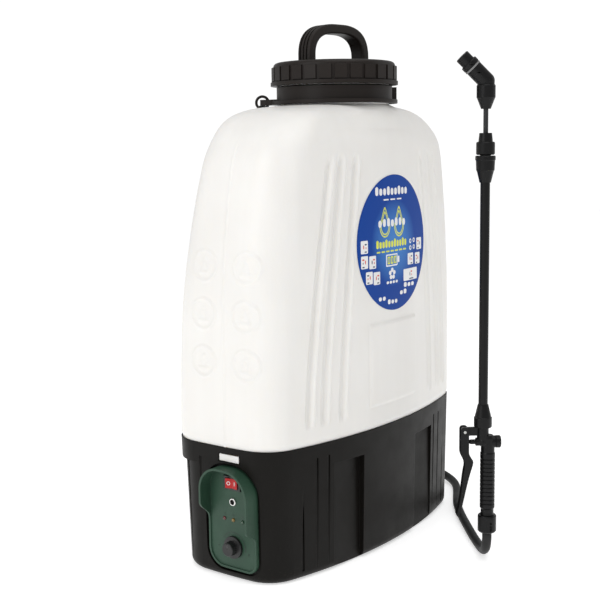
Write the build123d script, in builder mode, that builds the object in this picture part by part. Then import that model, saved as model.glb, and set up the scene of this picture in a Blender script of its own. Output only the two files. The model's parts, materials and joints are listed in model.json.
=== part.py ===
"""Battery backpack sprayer: tank, base tub, screw-ring lid, control panel, harness and spray lance.

Frame: +Z up, origin on the floor under the middle of the base. The label face looks along -Y, the
wearer's side along +Y and the control panel along -X. Everything is in millimetres.
"""

import os
from math import cos, radians, sin, sqrt

from build123d import *

os.makedirs("parts", exist_ok=True)

# ------------------------------------------------------------------ driving sizes
CORNER_X = 181.0  # half width at the corners of the plan outline
SIDE_BULGE = 4.0  # the narrow sides swell to a half width of 185
FRONT_Y = -93.5  # middle of the label face
FRONT_BULGE = 30.0  # how far the label face swells beyond its corners
BACK_Y = 68.0  # middle of the wearer's face
BACK_HOLLOW = 12.0  # how far the wearer's face is hollowed
CORNER_R = 40.0

BASE_H = 141.0  # joint line between base tub and tank
BASE_DRAFT = 2.6  # inset of the tub's outline at the floor
BASE_FOOT_R = 9.0
FOOT_H = 1.6  # rubber pads let flush into the underside
WALL = 3.5
FLOOR = 4.0
SHELF_Z = 123.0  # the tank's skirt reaches down to here inside the tub
STEP_IN = 6.0  # the wearer's side of the tub is set back below STEP_Z
STEP_Z = 119.0

TANK_TOP = 488.0
TANK_WALL = 3.0
TAPER_START = 262.0
SIDE_SHOULDER, FRONT_SHOULDER, BACK_SHOULDER = 66.0, 46.0, 24.0
NECK_Y = -18.0
NECK_R = 60.0
NECK_BORE = 56.5
NECK_TOP = 524.0

PANEL_Y = -13.5  # control panel centre line
PANEL_W = 64.0
PANEL_LOW, PANEL_HIGH = 11.0, 121.0
PANEL_CORNERS = ((-1, "low", 20.0), (1, "low", 12.0), (1, "high", 30.0), (-1, "high", 25.0))
PANEL_FACE = -181.0
PANEL_T = 3.0
HOOD_X = -197.0  # front edge of the panel's rain hood
CONTROLS_Y = -14.6

LANCE_AT = Vector(4.5, -202.5, 36.0)  # foot of the lance tube's axis
LANCE_YAW = -52.0
GRIP_X = 5.3  # the grip's axis is offset from the tube's
BEND_Z = 471.8  # where the nozzle leans off the tube's axis, above the lance's foot
RUN = 0.05  # radial clearance of a part that turns or slides in another

HOSE_R, HOSE_BORE = 5.0, 3.4
OUTLET = Vector(183.0, 30.0, 30.0)  # hose outlet on the side away from the panel

STRAP_X = 62.0
STRAP_W = 52.0
WEB_W = 30.0


def save(part, name):
    """Label a finished piece and write it as its own STEP file."""
    part.label = name
    export_step(part, f"parts/{name}.step")


# ------------------------------------------------------------------ plan outlines shared by tank and tub
def plan_outline(z, side=0.0, front=0.0, back=0.0, corner=CORNER_R, wearer_corner=None):
    """Closed plan outline at height z: bowed front, hollowed back, each face moved in by its own inset."""
    x = CORNER_X - side
    spread = (x / CORNER_X) ** 2
    front_mid = FRONT_Y + front
    front_corner = front_mid + FRONT_BULGE * spread
    back_mid = BACK_Y - back
    back_corner = back_mid + BACK_HOLLOW * spread
    mid_y = (front_corner + back_corner) / 2
    with BuildSketch(Plane.XY.offset(z)) as sketch:
        with BuildLine():
            ThreePointArc((-x, front_corner), (0, front_mid), (x, front_corner))
            ThreePointArc((x, front_corner), (x + SIDE_BULGE, mid_y), (x, back_corner))
            ThreePointArc((x, back_corner), (0, back_mid), (-x, back_corner))
            ThreePointArc((-x, back_corner), (-x - SIDE_BULGE, mid_y), (-x, front_corner))
        make_face()
        fillet(sketch.vertices().sort_by(Axis.Y)[:2], corner)
        fillet(sketch.vertices().sort_by(Axis.Y)[-2:], wearer_corner or corner)
    return sketch.sketch


def inset_outline(z, inset):
    """The full outline moved in evenly, for walls, skirts and shelves."""
    return plan_outline(z, inset, inset, inset, CORNER_R - inset)


def shoulder(z, radius):
    """Inset of a rounded shoulder of the given radius that ends at TANK_TOP."""
    rise = z - (TANK_TOP - radius)
    return 0.0 if rise <= 0 else radius - sqrt(max(0.0, radius**2 - rise**2))


def tank_outline(z, wall=0.0):
    """Outline of the tank at height z, or of its inside when a wall is given."""
    lean = max(0.0, (z - TAPER_START) / (TANK_TOP - TAPER_START)) ** 1.7
    rise = max(0.0, (z - BASE_H) / (TANK_TOP - BASE_H)) ** 1.8
    side = 26 * lean + 8 * rise + shoulder(z, SIDE_SHOULDER) + wall
    front = 4 * lean + shoulder(z, FRONT_SHOULDER) + wall
    back = 24 * rise + shoulder(z, BACK_SHOULDER) + wall
    corner = CORNER_R + 6 * rise - wall
    # towards the top the wearer's corners tighten while the front ones stay soft
    return plan_outline(z, side, front, back, corner - 0.8 * shoulder(z, BACK_SHOULDER),
                        corner - 0.45 * shoulder(z, SIDE_SHOULDER))


# ------------------------------------------------------------------ tank
SECTIONS = (BASE_H, 210, 262, 315, 360, 400, 436, 460, 473, 481, 485.5, TANK_TOP)
LUG_Y, LUG_Z, LUG_W, LUG_H = -12.8, 130.0, 26.0, 7.4

with BuildPart() as tank:
    for height in SECTIONS:
        add(tank_outline(height))
    loft(ruled=True)
    with BuildSketch(Plane.XY.offset(TANK_TOP - 30)):
        with Locations((0, NECK_Y)):
            Circle(NECK_R)
    extrude(amount=NECK_TOP - TANK_TOP + 30)
    # locating skirt that drops inside the tub
    add(inset_outline(SHELF_Z + 0.4, WALL + 0.5))
    extrude(amount=BASE_H - SHELF_Z - 0.4)
    with BuildPart(mode=Mode.PRIVATE) as tank_room:
        for height in (BASE_H + TANK_WALL, *SECTIONS[1:-2], TANK_TOP - TANK_WALL):
            add(tank_outline(height, TANK_WALL))
        loft(ruled=True)
    add(tank_room.part, mode=Mode.SUBTRACT)
    add(inset_outline(SHELF_Z, WALL + 0.5 + TANK_WALL))
    extrude(amount=BASE_H - SHELF_Z, mode=Mode.SUBTRACT)
    with BuildSketch(Plane.XY.offset(TANK_TOP - 12)):
        with Locations((0, NECK_Y)):
            Circle(NECK_BORE)
    extrude(amount=80, mode=Mode.SUBTRACT)
    # seat for the strainer's rim
    with BuildSketch(Plane.XY.offset(NECK_TOP - 2)):
        with Locations((0, NECK_Y)):
            Circle(NECK_BORE + 1.5)
    extrude(amount=4, mode=Mode.SUBTRACT)
    # outlet hole through the floor
    with BuildSketch(Plane.XY.offset(BASE_H - 5)):
        with Locations((60, -10)):
            Circle(9)
    extrude(amount=12, mode=Mode.SUBTRACT)
    # snap lug that shows in the tub's window
    with Locations((-CORNER_X - 0.2, LUG_Y, LUG_Z)):
        Box(6.4, LUG_W, LUG_H)
save(tank.part, "tank")

# ------------------------------------------------------------------ base tub
GROOVES_X = (106, 122, 140)
RECESS_IN, RECESS_OUT, RECESS_TOP = 52.0, 98.0, 116.0
WINDOW_Y, WINDOW_Z = LUG_Y, LUG_Z
LOWER_LUG_X, LOWER_LUG_Z = 62.0, 34.0


def panel_outline(x, shrink=0.0):
    """Outline of the control panel on the plane X = x, rounded most at the top."""
    place = Plane(origin=(x, PANEL_Y, 0), x_dir=(0, -1, 0), z_dir=(-1, 0, 0))
    with BuildSketch(place) as sketch:
        for side, height, radius in PANEL_CORNERS:
            across = side * (PANEL_W / 2 - radius)
            up = PANEL_LOW + radius if height == "low" else PANEL_HIGH - radius
            with Locations((across, up)):
                Circle(radius - shrink)
        make_hull()
    return sketch.sketch


def front_y(x, inset=0.0):
    """Y of the label face of the tub at x."""
    return FRONT_Y + FRONT_BULGE * (x / CORNER_X) ** 2 + inset


with BuildPart() as base_shell:
    add(plan_outline(0, BASE_DRAFT, BASE_DRAFT, BASE_DRAFT + STEP_IN))
    add(plan_outline(STEP_Z, 0.4, 0.4, 0.4 + STEP_IN))
    loft()
    fillet(base_shell.faces().sort_by(Axis.Z)[0].edges(), BASE_FOOT_R)
    add(plan_outline(STEP_Z, 0.4, 0.4, 0.4))
    add(plan_outline(BASE_H))
    loft()
    with BuildPart(mode=Mode.PRIVATE) as tub_room:
        add(plan_outline(FLOOR, WALL + BASE_DRAFT, WALL + BASE_DRAFT, WALL + BASE_DRAFT + STEP_IN, 34))
        add(plan_outline(STEP_Z - WALL, WALL + 0.4, WALL + 0.4, WALL + 0.4 + STEP_IN, 36))
        loft()
        add(inset_outline(STEP_Z - WALL, WALL))
        extrude(amount=BASE_H - STEP_Z + WALL)
    with BuildPart(mode=Mode.PRIVATE) as solid_spots:
        # the wall stays thick behind the front recesses and the panel's pocket
        with Locations((0, FRONT_Y + 10, RECESS_TOP / 2 + 2)):
            Box(2 * RECESS_OUT + 10, 34, RECESS_TOP + 4)
        with Locations((-CORNER_X, PANEL_Y, SHELF_Z / 2)):
            Box(13, PANEL_W + 14, SHELF_Z)
    add(tub_room.part - solid_spots.part, mode=Mode.SUBTRACT)
    with BuildPart(mode=Mode.PRIVATE) as front_relief:
        with BuildSketch(Plane.XY.offset(FLOOR)):
            with BuildLine():
                arc = ThreePointArc(
                    (-RECESS_IN - 5, front_y(RECESS_IN, 11)), (0, front_y(0, 6)),
                    (RECESS_IN + 5, front_y(RECESS_IN, 11))
                )
                Polyline(arc @ 1, (RECESS_IN + 5, front_y(0, 40)), (-RECESS_IN - 5, front_y(0, 40)), arc @ 0)
            make_face()
        extrude(amount=RECESS_TOP)
    add(front_relief.part, mode=Mode.SUBTRACT)
    with BuildPart(mode=Mode.PRIVATE) as recesses:
        for side in (-1, 1):
            with BuildSketch(Plane.XY.offset(-1)):
                with BuildLine():
                    Polyline(
                        (side * RECESS_IN, front_y(0, -8)),
                        (side * RECESS_IN, front_y(RECESS_IN, 7.5)),
                        (side * RECESS_OUT, front_y(RECESS_OUT, 3.2)),
                        (side * RECESS_OUT, front_y(0, -8)),
                        close=True,
                    )
                make_face()
            extrude(amount=RECESS_TOP + 1)
    add(recesses.part, mode=Mode.SUBTRACT)
    for side in (-1, 1):
        for x in GROOVES_X:
            with BuildSketch(Plane.XY.offset(9)):
                with Locations((side * x, front_y(x, 0.9 + (1.6 if x == 140 else 0)))):
                    Circle(1.5)
            extrude(amount=118, mode=Mode.SUBTRACT)
    # grooves on the narrow sides and the window for the tank's lug
    for x, y in ((-185.6, 26), (185.6, 26), (-178.6, 48), (178.6, 48)):
        with BuildSketch(Plane.XY.offset(9)):
            with Locations((x, y)):
                Circle(2.4)
        extrude(amount=118, mode=Mode.SUBTRACT)
    with Locations((-CORNER_X, WINDOW_Y, WINDOW_Z)):
        Box(12, LUG_W + 1.2, LUG_H + 1.2, mode=Mode.SUBTRACT)
    # pocket and opening for the control panel
    add(panel_outline(-200, -2.6))
    extrude(amount=-200 + 178, dir=(-1, 0, 0), mode=Mode.SUBTRACT)
    with Locations((-CORNER_X, PANEL_Y, 67)):
        Box(20, 46, 88, mode=Mode.SUBTRACT)
    # hose outlet hole
    with Locations(Plane(origin=OUTLET, z_dir=(1, 0, 0))):
        Cylinder(7, 20, mode=Mode.SUBTRACT)
    # ears for the lower strap pins
    for side in (-1, 1):
        for ear in (-17.5, 17.5):
            with Locations((side * LOWER_LUG_X + ear, 67, LOWER_LUG_Z)):
                Box(4, 15, 16)
        with Locations((side * LOWER_LUG_X, 70.5, LOWER_LUG_Z)):
            with Locations(Rotation(0, 90, 0)):
                Cylinder(2.45, 60, mode=Mode.SUBTRACT)
    # recesses for the rubber feet
    with Locations(*[(x, y, FOOT_H / 2) for x in (-140, 140) for y in (-48, 42)]):
        Cylinder(11.2, FOOT_H, mode=Mode.SUBTRACT)
save(base_shell.part, "base_shell")

# ------------------------------------------------------------------ small helpers for turned and swept parts
def side_plane(x, y, z=0.0, yaw=0.0):
    """Upright plane whose second axis is +Z, for the profile of a part turned about a vertical axis."""
    return Plane(origin=(x, y, z), x_dir=(cos(radians(yaw)), sin(radians(yaw)), 0),
                 z_dir=(sin(radians(yaw)), -cos(radians(yaw)), 0))


def turned(plane, profile):
    """Solid of revolution about the plane's second axis from (radius, height) points."""
    with BuildPart() as body:
        with BuildSketch(plane):
            with BuildLine():
                Polyline(*profile, close=True)
            make_face()
        revolve(axis=Axis(plane.origin, plane.y_dir))
    return body.part


def grooves(plane, radius, low, high, count, width=1.2, depth=0.7):
    """Cutters for evenly spaced lengthwise grooves around a turned part."""
    with BuildPart() as cutters:
        for i in range(count):
            turn = 360 * i / count
            spoke = plane.rotated((0, turn, 0))
            with Locations(spoke.offset(0)):
                with Locations((radius, (low + high) / 2, 0)):
                    Box(2 * depth, high - low, width)
    return cutters.part


def tube_along(path, outer, inner):
    """Round tube swept along a path made of one wire."""
    start = Plane(origin=path @ 0, z_dir=path % 0)
    with BuildPart() as tube:
        with BuildSketch(start):
            Circle(outer)
            Circle(inner, mode=Mode.SUBTRACT)
        sweep(path=path)
    return tube.part


# ------------------------------------------------------------------ neck collar with strap lugs
COLLAR_LOW, COLLAR_HIGH = 490.0, 509.2
LUG_TURN = 58.0  # angle of each strap lug behind the neck, from the X axis
LUG_REACH, LUG_END, LUG_HOLE = 74.0, 8.5, 4.2
JOINT_TURN = -38.0  # angle of the collar's joining block
NECK_SIDE = side_plane(0, NECK_Y)

with BuildPart() as neck_collar:
    add(turned(NECK_SIDE, [(NECK_R + RUN, 490), (69.5, 490), (69.5, 494), (63.5, 494), (63.5, 508.4),
                           (62.7, COLLAR_HIGH), (NECK_R + RUN, COLLAR_HIGH)]))
    for turn in (LUG_TURN, 180 - LUG_TURN):
        reach = Plane(origin=(0, NECK_Y, COLLAR_LOW), x_dir=(cos(radians(turn)), sin(radians(turn)), 0))
        with BuildSketch(reach):
            with BuildLine():
                Polyline((62, -15), (LUG_REACH, -LUG_END), (LUG_REACH, LUG_END), (62, 15), close=True)
            make_face()
            with Locations((LUG_REACH, 0)):
                Circle(LUG_END)
                Circle(LUG_HOLE, mode=Mode.SUBTRACT)
        extrude(amount=6)
    # joining block where the collar's two ends meet, towards the label face
    with Locations(Location((0, NECK_Y, 499)) * Rotation(0, 0, JOINT_TURN) * Location((65, 0, 0))):
        Box(7.5, 22, 18)
    with BuildSketch(Plane.XY.offset(480)):
        with Locations((0, NECK_Y)):
            Circle(NECK_R + RUN)
    extrude(amount=40, mode=Mode.SUBTRACT)
save(neck_collar.part, "neck_collar")

# ------------------------------------------------------------------ strainer, seal, lid and screw ring
RIM_Z = NECK_TOP - 2

with BuildPart() as filter_basket:
    add(turned(NECK_SIDE, [(52, RIM_Z), (57.9, RIM_Z), (57.9, RIM_Z + 1.8), (50.5, RIM_Z + 1.8),
                           (47.5, 440), (0, 440), (0, 437.5), (49, 437.5)]))
    for row in range(4):
        with Locations((0, NECK_Y, 450 + 18 * row)):
            with PolarLocations(49, 20):
                Box(8, 9, 13, mode=Mode.SUBTRACT)
save(filter_basket.part, "filter_basket")

save(turned(NECK_SIDE, [(54.5, NECK_TOP), (59.2, NECK_TOP), (59.2, NECK_TOP + 1.4),
                        (54.5, NECK_TOP + 1.4)]), "lid_seal")

LID_R, BOSS_R = 59.5, 52.0
HANDLE_X, HANDLE_T, HANDLE_W = 45.0, 10.0, 20.0
HANDLE_TOP, HANDLE_LEG = 575.5, 542.0
HANDLE_YAW = -11.0  # how far the lid is turned in the neck
FOOT_X, SCREW_Y = HANDLE_X - HANDLE_T / 2, 5.0  # the screws' places in the handle's feet


def screw_spots(z):
    """Places of the four handle screws at height z, turned with the lid."""
    middle = Location((0, NECK_Y, z)) * Rotation(0, 0, HANDLE_YAW)
    return [middle * Location((x, y, 0)) for x in (-FOOT_X, FOOT_X) for y in (-SCREW_Y, SCREW_Y)]


with BuildPart() as lid:
    add(turned(NECK_SIDE, [(0, 525.5), (LID_R, 525.5), (LID_R, 527.2), (BOSS_R - RUN, 527.2),
                           (BOSS_R - RUN, 530.4), (51.2, 531.2), (24, 531.2), (22, 529.6), (0, 529.6)]))
    with Locations(*screw_spots(528)):
        Cylinder(2.1, 10, mode=Mode.SUBTRACT)
    with Locations((0, NECK_Y, 528)):
        Cylinder(6.05, 10, mode=Mode.SUBTRACT)
save(lid.part, "lid")

VALVE_PROFILE = [(0, 523.5), (8, 523.5), (8, 525.4), (6, 525.4), (6, 531), (0, 531)]
save(turned(NECK_SIDE, VALVE_PROFILE), "breather_valve")

RING_TOP = 535.0
with BuildPart() as cap_ring:
    with BuildSketch(NECK_SIDE):
        with BuildLine():
            outside = Polyline((63, 510), (70, 510), (70, 514), (67, 514), (67, 529))
            crown = Bezier(outside @ 1, (67, 534.6), (62, RING_TOP))
            Polyline(crown @ 1, (53, RING_TOP), (BOSS_R, 534), (BOSS_R, 527.25), (60.4, 527.25), (60.4, 519),
                     (NECK_R + RUN, 518.5), (NECK_R + RUN, 512), (63, 510))
        make_face()
    revolve(axis=Axis((0, NECK_Y, 0), (0, 0, 1)))
    # raised finger pads all round
    with Locations((0, NECK_Y, 522.4)):
        with PolarLocations(66.6, 26):
            Box(4, 13, 14.8)
save(cap_ring.part, "cap_ring")

# ------------------------------------------------------------------ carry handle


def arch_face(trim, foot):
    """Arch-shaped face between the handle's feet, moved in from its outside by trim."""
    x = HANDLE_X - trim
    top = HANDLE_TOP - trim
    with BuildSketch(Plane(origin=(0, NECK_Y, 0), x_dir=(1, 0, 0), z_dir=(0, -1, 0))) as sketch:
        with BuildLine():
            left = Polyline((-x, foot), (-x, HANDLE_LEG))
            turn_left = Bezier(left @ 1, (-x, top), (-0.12 * x, top))
            over = Line(turn_left @ 1, (0.12 * x, top))
            turn_right = Bezier(over @ 1, (x, top), (x, HANDLE_LEG))
            Polyline(turn_right @ 1, (x, foot), (-x, foot))
        make_face()
    return sketch.sketch


with BuildPart() as carry_handle:
    add(arch_face(0, 531.3))
    extrude(amount=HANDLE_W / 2, dir=(0, 1, 0), both=True)
    add(arch_face(HANDLE_T, 520))
    extrude(amount=HANDLE_W, dir=(0, 1, 0), both=True, mode=Mode.SUBTRACT)
    outer_edges = carry_handle.edges().filter_by(
        lambda edge: abs(abs(edge.center().Y - NECK_Y) - HANDLE_W / 2) < 0.01)
    fillet(outer_edges.filter_by(lambda e: e.center().Z > 531.4), 2.6)
    with BuildPart(mode=Mode.PRIVATE) as rib_gaps:
        for y in (-5, 0, 5):
            for face, mode in ((arch_face(-3, 536), Mode.ADD), (arch_face(1.5, 530), Mode.SUBTRACT)):
                add(face.moved(Location((0, y, 0))))
                extrude(amount=1.1, dir=(0, 1, 0), both=True, mode=mode)
    add(rib_gaps.part, mode=Mode.SUBTRACT)
    with Locations(*[(x, NECK_Y + y, 536) for x in (-FOOT_X, FOOT_X) for y in (-SCREW_Y, SCREW_Y)]):
        Cylinder(1.9, 16, mode=Mode.SUBTRACT)
save(carry_handle.part.rotate(Axis((0, NECK_Y, 0), (0, 0, 1)), HANDLE_YAW), "carry_handle")

with BuildPart() as handle_screws:
    with Locations(*screw_spots(532)):
        Cylinder(1.85, 16)
    with Locations(*screw_spots(524.4)):
        Cylinder(3.8, 2)
save(handle_screws.part, "handle_screws")

# ------------------------------------------------------------------ control panel and its rain hood
FACE = Plane(origin=(PANEL_FACE, CONTROLS_Y, 0), x_dir=(0, -1, 0), z_dir=(-1, 0, 0))
SWITCH_Z, JACK_Z, LED_Z, KNOB_Z = 103.6, 83.5, 64.2, 35.2
LED_SIDES = {"led_red": -12.0, "led_amber": 0.0, "led_green": 12.5}


def panel_spin(height, profile):
    """Part turned about a line square to the panel: (radius, distance out from the face) points."""
    centre = Vector(PANEL_FACE, CONTROLS_Y, height)
    with BuildPart() as body:
        with BuildSketch(Plane(origin=centre, x_dir=(0, 0, 1), z_dir=(0, 1, 0))):
            with BuildLine():
                Polyline(*[(radius, -out) for radius, out in profile], close=True)
            make_face()
        revolve(axis=Axis(centre, (1, 0, 0)))
    return body.part


with BuildPart() as control_panel:
    add(panel_outline(PANEL_FACE + PANEL_T))
    extrude(amount=PANEL_T, dir=(-1, 0, 0))
    with BuildPart(mode=Mode.PRIVATE) as hood:
        add(panel_outline(PANEL_FACE))
        extrude(amount=PANEL_FACE - HOOD_X, dir=(-1, 0, 0))
        add(panel_outline(PANEL_FACE, 2.4))
        extrude(amount=PANEL_FACE - HOOD_X, dir=(-1, 0, 0), mode=Mode.SUBTRACT)
        # each side of the hood sweeps back to the panel, lower on the label side
        for y, top, foot in ((PANEL_Y - 25, 61, 44), (PANEL_Y + 25, 82, 60)):
            with BuildSketch(Plane(origin=(0, y, 0), x_dir=(1, 0, 0), z_dir=(0, -1, 0))):
                with BuildLine():
                    sweep_back = Bezier((HOOD_X, top), (HOOD_X, top - 9), (PANEL_FACE - 1.4, foot + 12),
                                        (PANEL_FACE - 1.4, foot))
                    Polyline(sweep_back @ 1, (PANEL_FACE - 1.4, 0), (HOOD_X - 3, 0), (HOOD_X - 3, top),
                             sweep_back @ 0)
                make_face()
            extrude(amount=25, both=True, mode=Mode.SUBTRACT)
    add(hood.part)
    with Locations(FACE):
        with Locations((0, SWITCH_Z, 0)):
            Box(20.2, 14.0, 20, mode=Mode.SUBTRACT)
        with Locations((0, JACK_Z, 0)):
            Cylinder(3.5, 20, mode=Mode.SUBTRACT)
        with Locations((0, KNOB_Z, 0)):
            Cylinder(3.55, 20, mode=Mode.SUBTRACT)
        for side in LED_SIDES.values():
            with Locations((side, LED_Z, 0)):
                Cylinder(2.0, 20, mode=Mode.SUBTRACT)
save(control_panel.part, "control_panel")

with BuildPart() as switch_bezel:
    with Locations(FACE):
        with Locations((0, SWITCH_Z, 0.9)):
            Box(22.4, 14.9, 1.8)
        with Locations((0, SWITCH_Z, -7)):
            Box(19.9, 13.7, 14)
        with Locations((0, SWITCH_Z, -4.5)):
            Box(16.6, 10.4, 15, mode=Mode.SUBTRACT)
    fillet(switch_bezel.faces().sort_by(Axis.X)[0].outer_wire().edges(), 0.9)
    with Locations((PANEL_FACE + 2.5, CONTROLS_Y, SWITCH_Z)):
        Cylinder(1.2 + RUN, 12.6, mode=Mode.SUBTRACT)
save(switch_bezel.part, "switch_bezel")

ROCKER_TILT = 6.0
with BuildPart() as switch_rocker:
    pivot = Plane(origin=(PANEL_FACE + 2.5, CONTROLS_Y, SWITCH_Z), x_dir=(0, -1, 0), z_dir=(0, 0, 1)).rotated(
        (0, 0, ROCKER_TILT))
    with BuildSketch(pivot):
        with BuildLine():
            Polyline((-7.2, -6.2), (0, -4.6), (7.2, -6.2), (7.2, -3.4), (3.6, 2.4), (-3.6, 2.4), (-7.2, -3.4),
                     close=True)
        make_face()
    extrude(amount=5.1, both=True)
    with BuildSketch(pivot):
        Circle(1.2)
    extrude(amount=6.2, both=True)
save(switch_rocker.part, "switch_rocker")

save(panel_spin(JACK_Z, [(2.9, 1.6), (3.7, 1.6), (4.1, 1.2), (4.1, 0), (3.45, 0), (3.45, -12),
                         (2.9, -12)]), "jack_ring")
save(panel_spin(JACK_Z, [(0, 0.2), (0.8, 0.2), (1.05, -0.2), (1.05, -9), (2.85, -9), (2.85, -15),
                         (0, -15)]), "jack_core")

for name, side in LED_SIDES.items():
    with BuildPart() as led:
        middle = (PANEL_FACE, CONTROLS_Y - side, LED_Z)
        with BuildSketch(Plane(origin=middle, x_dir=(1, 0, 0), z_dir=(0, -1, 0))):
            with BuildLine():
                dome = Bezier((-1.7, 0), (-1.7, 1.5), (-0.4, 1.95))
                Polyline(dome @ 1, (3, 1.95), (3.05, 2.5), (4.4, 2.5), (4.4, 0), dome @ 0)
            make_face()
        revolve(axis=Axis((PANEL_FACE, CONTROLS_Y - side, LED_Z), (1, 0, 0)))
    save(led.part, name)

save(panel_spin(KNOB_Z, [(0, 8), (2.95, 8), (2.95, 1.8), (3.5, 1.8), (3.5, -3), (8.5, -3.1), (8.5, -11),
                         (0, -11)]), "speed_pot")
with BuildPart() as speed_knob:
    add(panel_spin(KNOB_Z, [(0, 11.2), (6.4, 11.2), (7.1, 10.5), (7.6, 3.4), (11.6, 2.9), (11.8, 0.5),
                            (7, 0.5), (7, 2.2), (3, 2.2), (3, 8.4), (0, 8.4)]))
    with Locations(FACE):
        with Locations((0, KNOB_Z, 9)):
            with PolarLocations(7.9, 18):
                Cylinder(0.75, 9, mode=Mode.SUBTRACT)
        with Locations((0, KNOB_Z + 3.5, 11.6)):
            Box(1.2, 5, 1.6, mode=Mode.SUBTRACT)
save(speed_knob.part, "speed_knob")

with BuildPart() as control_board:
    with Locations((-163, CONTROLS_Y, 66)):
        Box(1.6, 42, 82)
    chips = ((4, 88, 9, 14, 5), (-12, 84, 8, 8, 3), (8, 46, 10, 18, 9), (-10, 50, 14, 6, 4))
    for y, z, wide, tall, deep in chips:
        with Locations((-162.3 + deep / 2, CONTROLS_Y + y, z)):
            Box(deep, wide, tall)
    for y, z in ((-19, 28), (19, 28), (-19, 104), (19, 104)):
        with Locations((-168.9, CONTROLS_Y + y, z)):
            Box(11, 4, 4)
save(control_board.part, "control_board")

# ------------------------------------------------------------------ battery, pump and plumbing inside the tub
BATTERY = Vector(92, -22, 39)
PUMP_Y, PUMP_Z = -10.0, 34.0
MOTOR_R = 17.0
HEAD_LOW_X, HEAD_HIGH_X = -40.0, 4.0
INLET, OUTLET_PORT = Vector(-18, -24, 52), Vector(-18, 4, 52)
TANK_OUTLET = Vector(60, -10, BASE_H)
PIPE_R, PIPE_BORE, BARB_R = 6.0, 4.05, 4.0
INNER_FLOOR = FLOOR

with BuildPart() as battery_pack:
    with Locations(BATTERY):
        Box(122, 70, 64)
    fillet(battery_pack.edges(), 4)
    with Locations(BATTERY + Vector(-48, 20, 33)):
        Box(16, 22, 6)
save(battery_pack.part, "battery_pack")

with BuildPart() as battery_cradle:
    with Locations((BATTERY.X, BATTERY.Y, INNER_FLOOR + 4)):
        Box(130, 78, 8)
    with Locations(BATTERY):
        Box(122.4, 70.4, 64.2, mode=Mode.SUBTRACT)
    with Locations((BATTERY.X, BATTERY.Y, INNER_FLOOR)):
        Box(110, 58, 8, mode=Mode.SUBTRACT)
save(battery_cradle.part, "battery_cradle")

with BuildPart() as pump_motor:
    with BuildSketch(Plane(origin=(HEAD_LOW_X - 0.2, PUMP_Y, PUMP_Z), x_dir=(0, 1, 0), z_dir=(-1, 0, 0))):
        Circle(MOTOR_R)
    extrude(amount=58)
    chamfer(pump_motor.faces().sort_by(Axis.X)[0].edges(), 1.5)
    with Locations((HEAD_LOW_X - 61, PUMP_Y, PUMP_Z)):
        with Locations(Rotation(0, 90, 0)):
            Cylinder(5, 6)
    with Locations((HEAD_LOW_X - 60, PUMP_Y + 11, PUMP_Z), (HEAD_LOW_X - 60, PUMP_Y - 11, PUMP_Z)):
        Box(6, 1, 5)
save(pump_motor.part, "pump_motor")

with BuildPart() as pump_head:
    middle = (HEAD_LOW_X + HEAD_HIGH_X) / 2
    with Locations((middle, PUMP_Y, PUMP_Z + 1)):
        Box(HEAD_HIGH_X - HEAD_LOW_X, 54, 34)
    fillet(pump_head.edges().filter_by(Axis.X), 7)
    with Locations((HEAD_HIGH_X + 2.5, PUMP_Y, PUMP_Z + 1)):
        Box(5, 46, 28)
    for port in (INLET, OUTLET_PORT):
        with Locations(port + Vector(0, 0, 7)):
            Cylinder(BARB_R, 14)
        with Locations(port + Vector(0, 0, 4)):
            Cylinder(1.8, 26, mode=Mode.SUBTRACT)
        with Locations(port + Vector(0, 0, 1)):
            Cylinder(7, 2.4)
            Cylinder(1.8, 4, mode=Mode.SUBTRACT)
save(pump_head.part, "pump_head")

with BuildPart() as pump_bracket:
    with Locations((-50, PUMP_Y, INNER_FLOOR + 1.25)):
        Box(96, 64, 2.5)
    for x in (-56, -84):
        with Locations((x, PUMP_Y, INNER_FLOOR + 9)):
            Box(10, 42, 18)
    with Locations((middle, PUMP_Y, INNER_FLOOR + 6)):
        Box(36, 44, 12)
    with Locations((-60, PUMP_Y, PUMP_Z)):
        with Locations(Rotation(0, 90, 0)):
            Cylinder(MOTOR_R + RUN, 76, mode=Mode.SUBTRACT)
    with Locations((middle, PUMP_Y, PUMP_Z + 1)):
        Box(HEAD_HIGH_X - HEAD_LOW_X + 0.4, 54.2, 34.1, mode=Mode.SUBTRACT)
    with Locations((-50, PUMP_Y, INNER_FLOOR)):
        with GridLocations(86, 55, 2, 2):
            Cylinder(2.1, 20, mode=Mode.SUBTRACT)
save(pump_bracket.part, "pump_bracket")

with BuildPart() as pump_screws:
    with Locations((-50, PUMP_Y, INNER_FLOOR + 3.6)):
        with GridLocations(86, 55, 2, 2):
            Cylinder(3.8, 2.2)
    with Locations((-50, PUMP_Y, INNER_FLOOR + 1.3)):
        with GridLocations(86, 55, 2, 2):
            Cylinder(2.0, 2.6)
save(pump_screws.part, "pump_screws")

save(turned(side_plane(TANK_OUTLET.X, TANK_OUTLET.Y), [
    (2.4, BASE_H - 22), (BARB_R, BASE_H - 22), (BARB_R, BASE_H - 5), (14, BASE_H - 4), (14, BASE_H),
    (8.9, BASE_H), (8.9, BASE_H + 9), (2.4, BASE_H + 9)]), "tank_outlet")
save(turned(side_plane(TANK_OUTLET.X, TANK_OUTLET.Y), [
    (8.95, BASE_H + TANK_WALL), (14, BASE_H + TANK_WALL), (14, BASE_H + TANK_WALL + 4.5),
    (8.95, BASE_H + TANK_WALL + 4.5)]), "outlet_nut")

with BuildLine() as suction_path:
    drop = Line((TANK_OUTLET.X, TANK_OUTLET.Y, BASE_H - 6), (TANK_OUTLET.X, TANK_OUTLET.Y, BASE_H - 24))
    onto_pump = Line((INLET.X, INLET.Y, INLET.Z + 16), (INLET.X, INLET.Y, INLET.Z + 3))
    Spline(drop @ 1, onto_pump @ 0, tangents=[(0, 0, -1), (0, 0, -1)], tangent_scalars=[0.7, 0.7])
save(tube_along(suction_path.line, PIPE_R, PIPE_BORE), "suction_hose")

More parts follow.
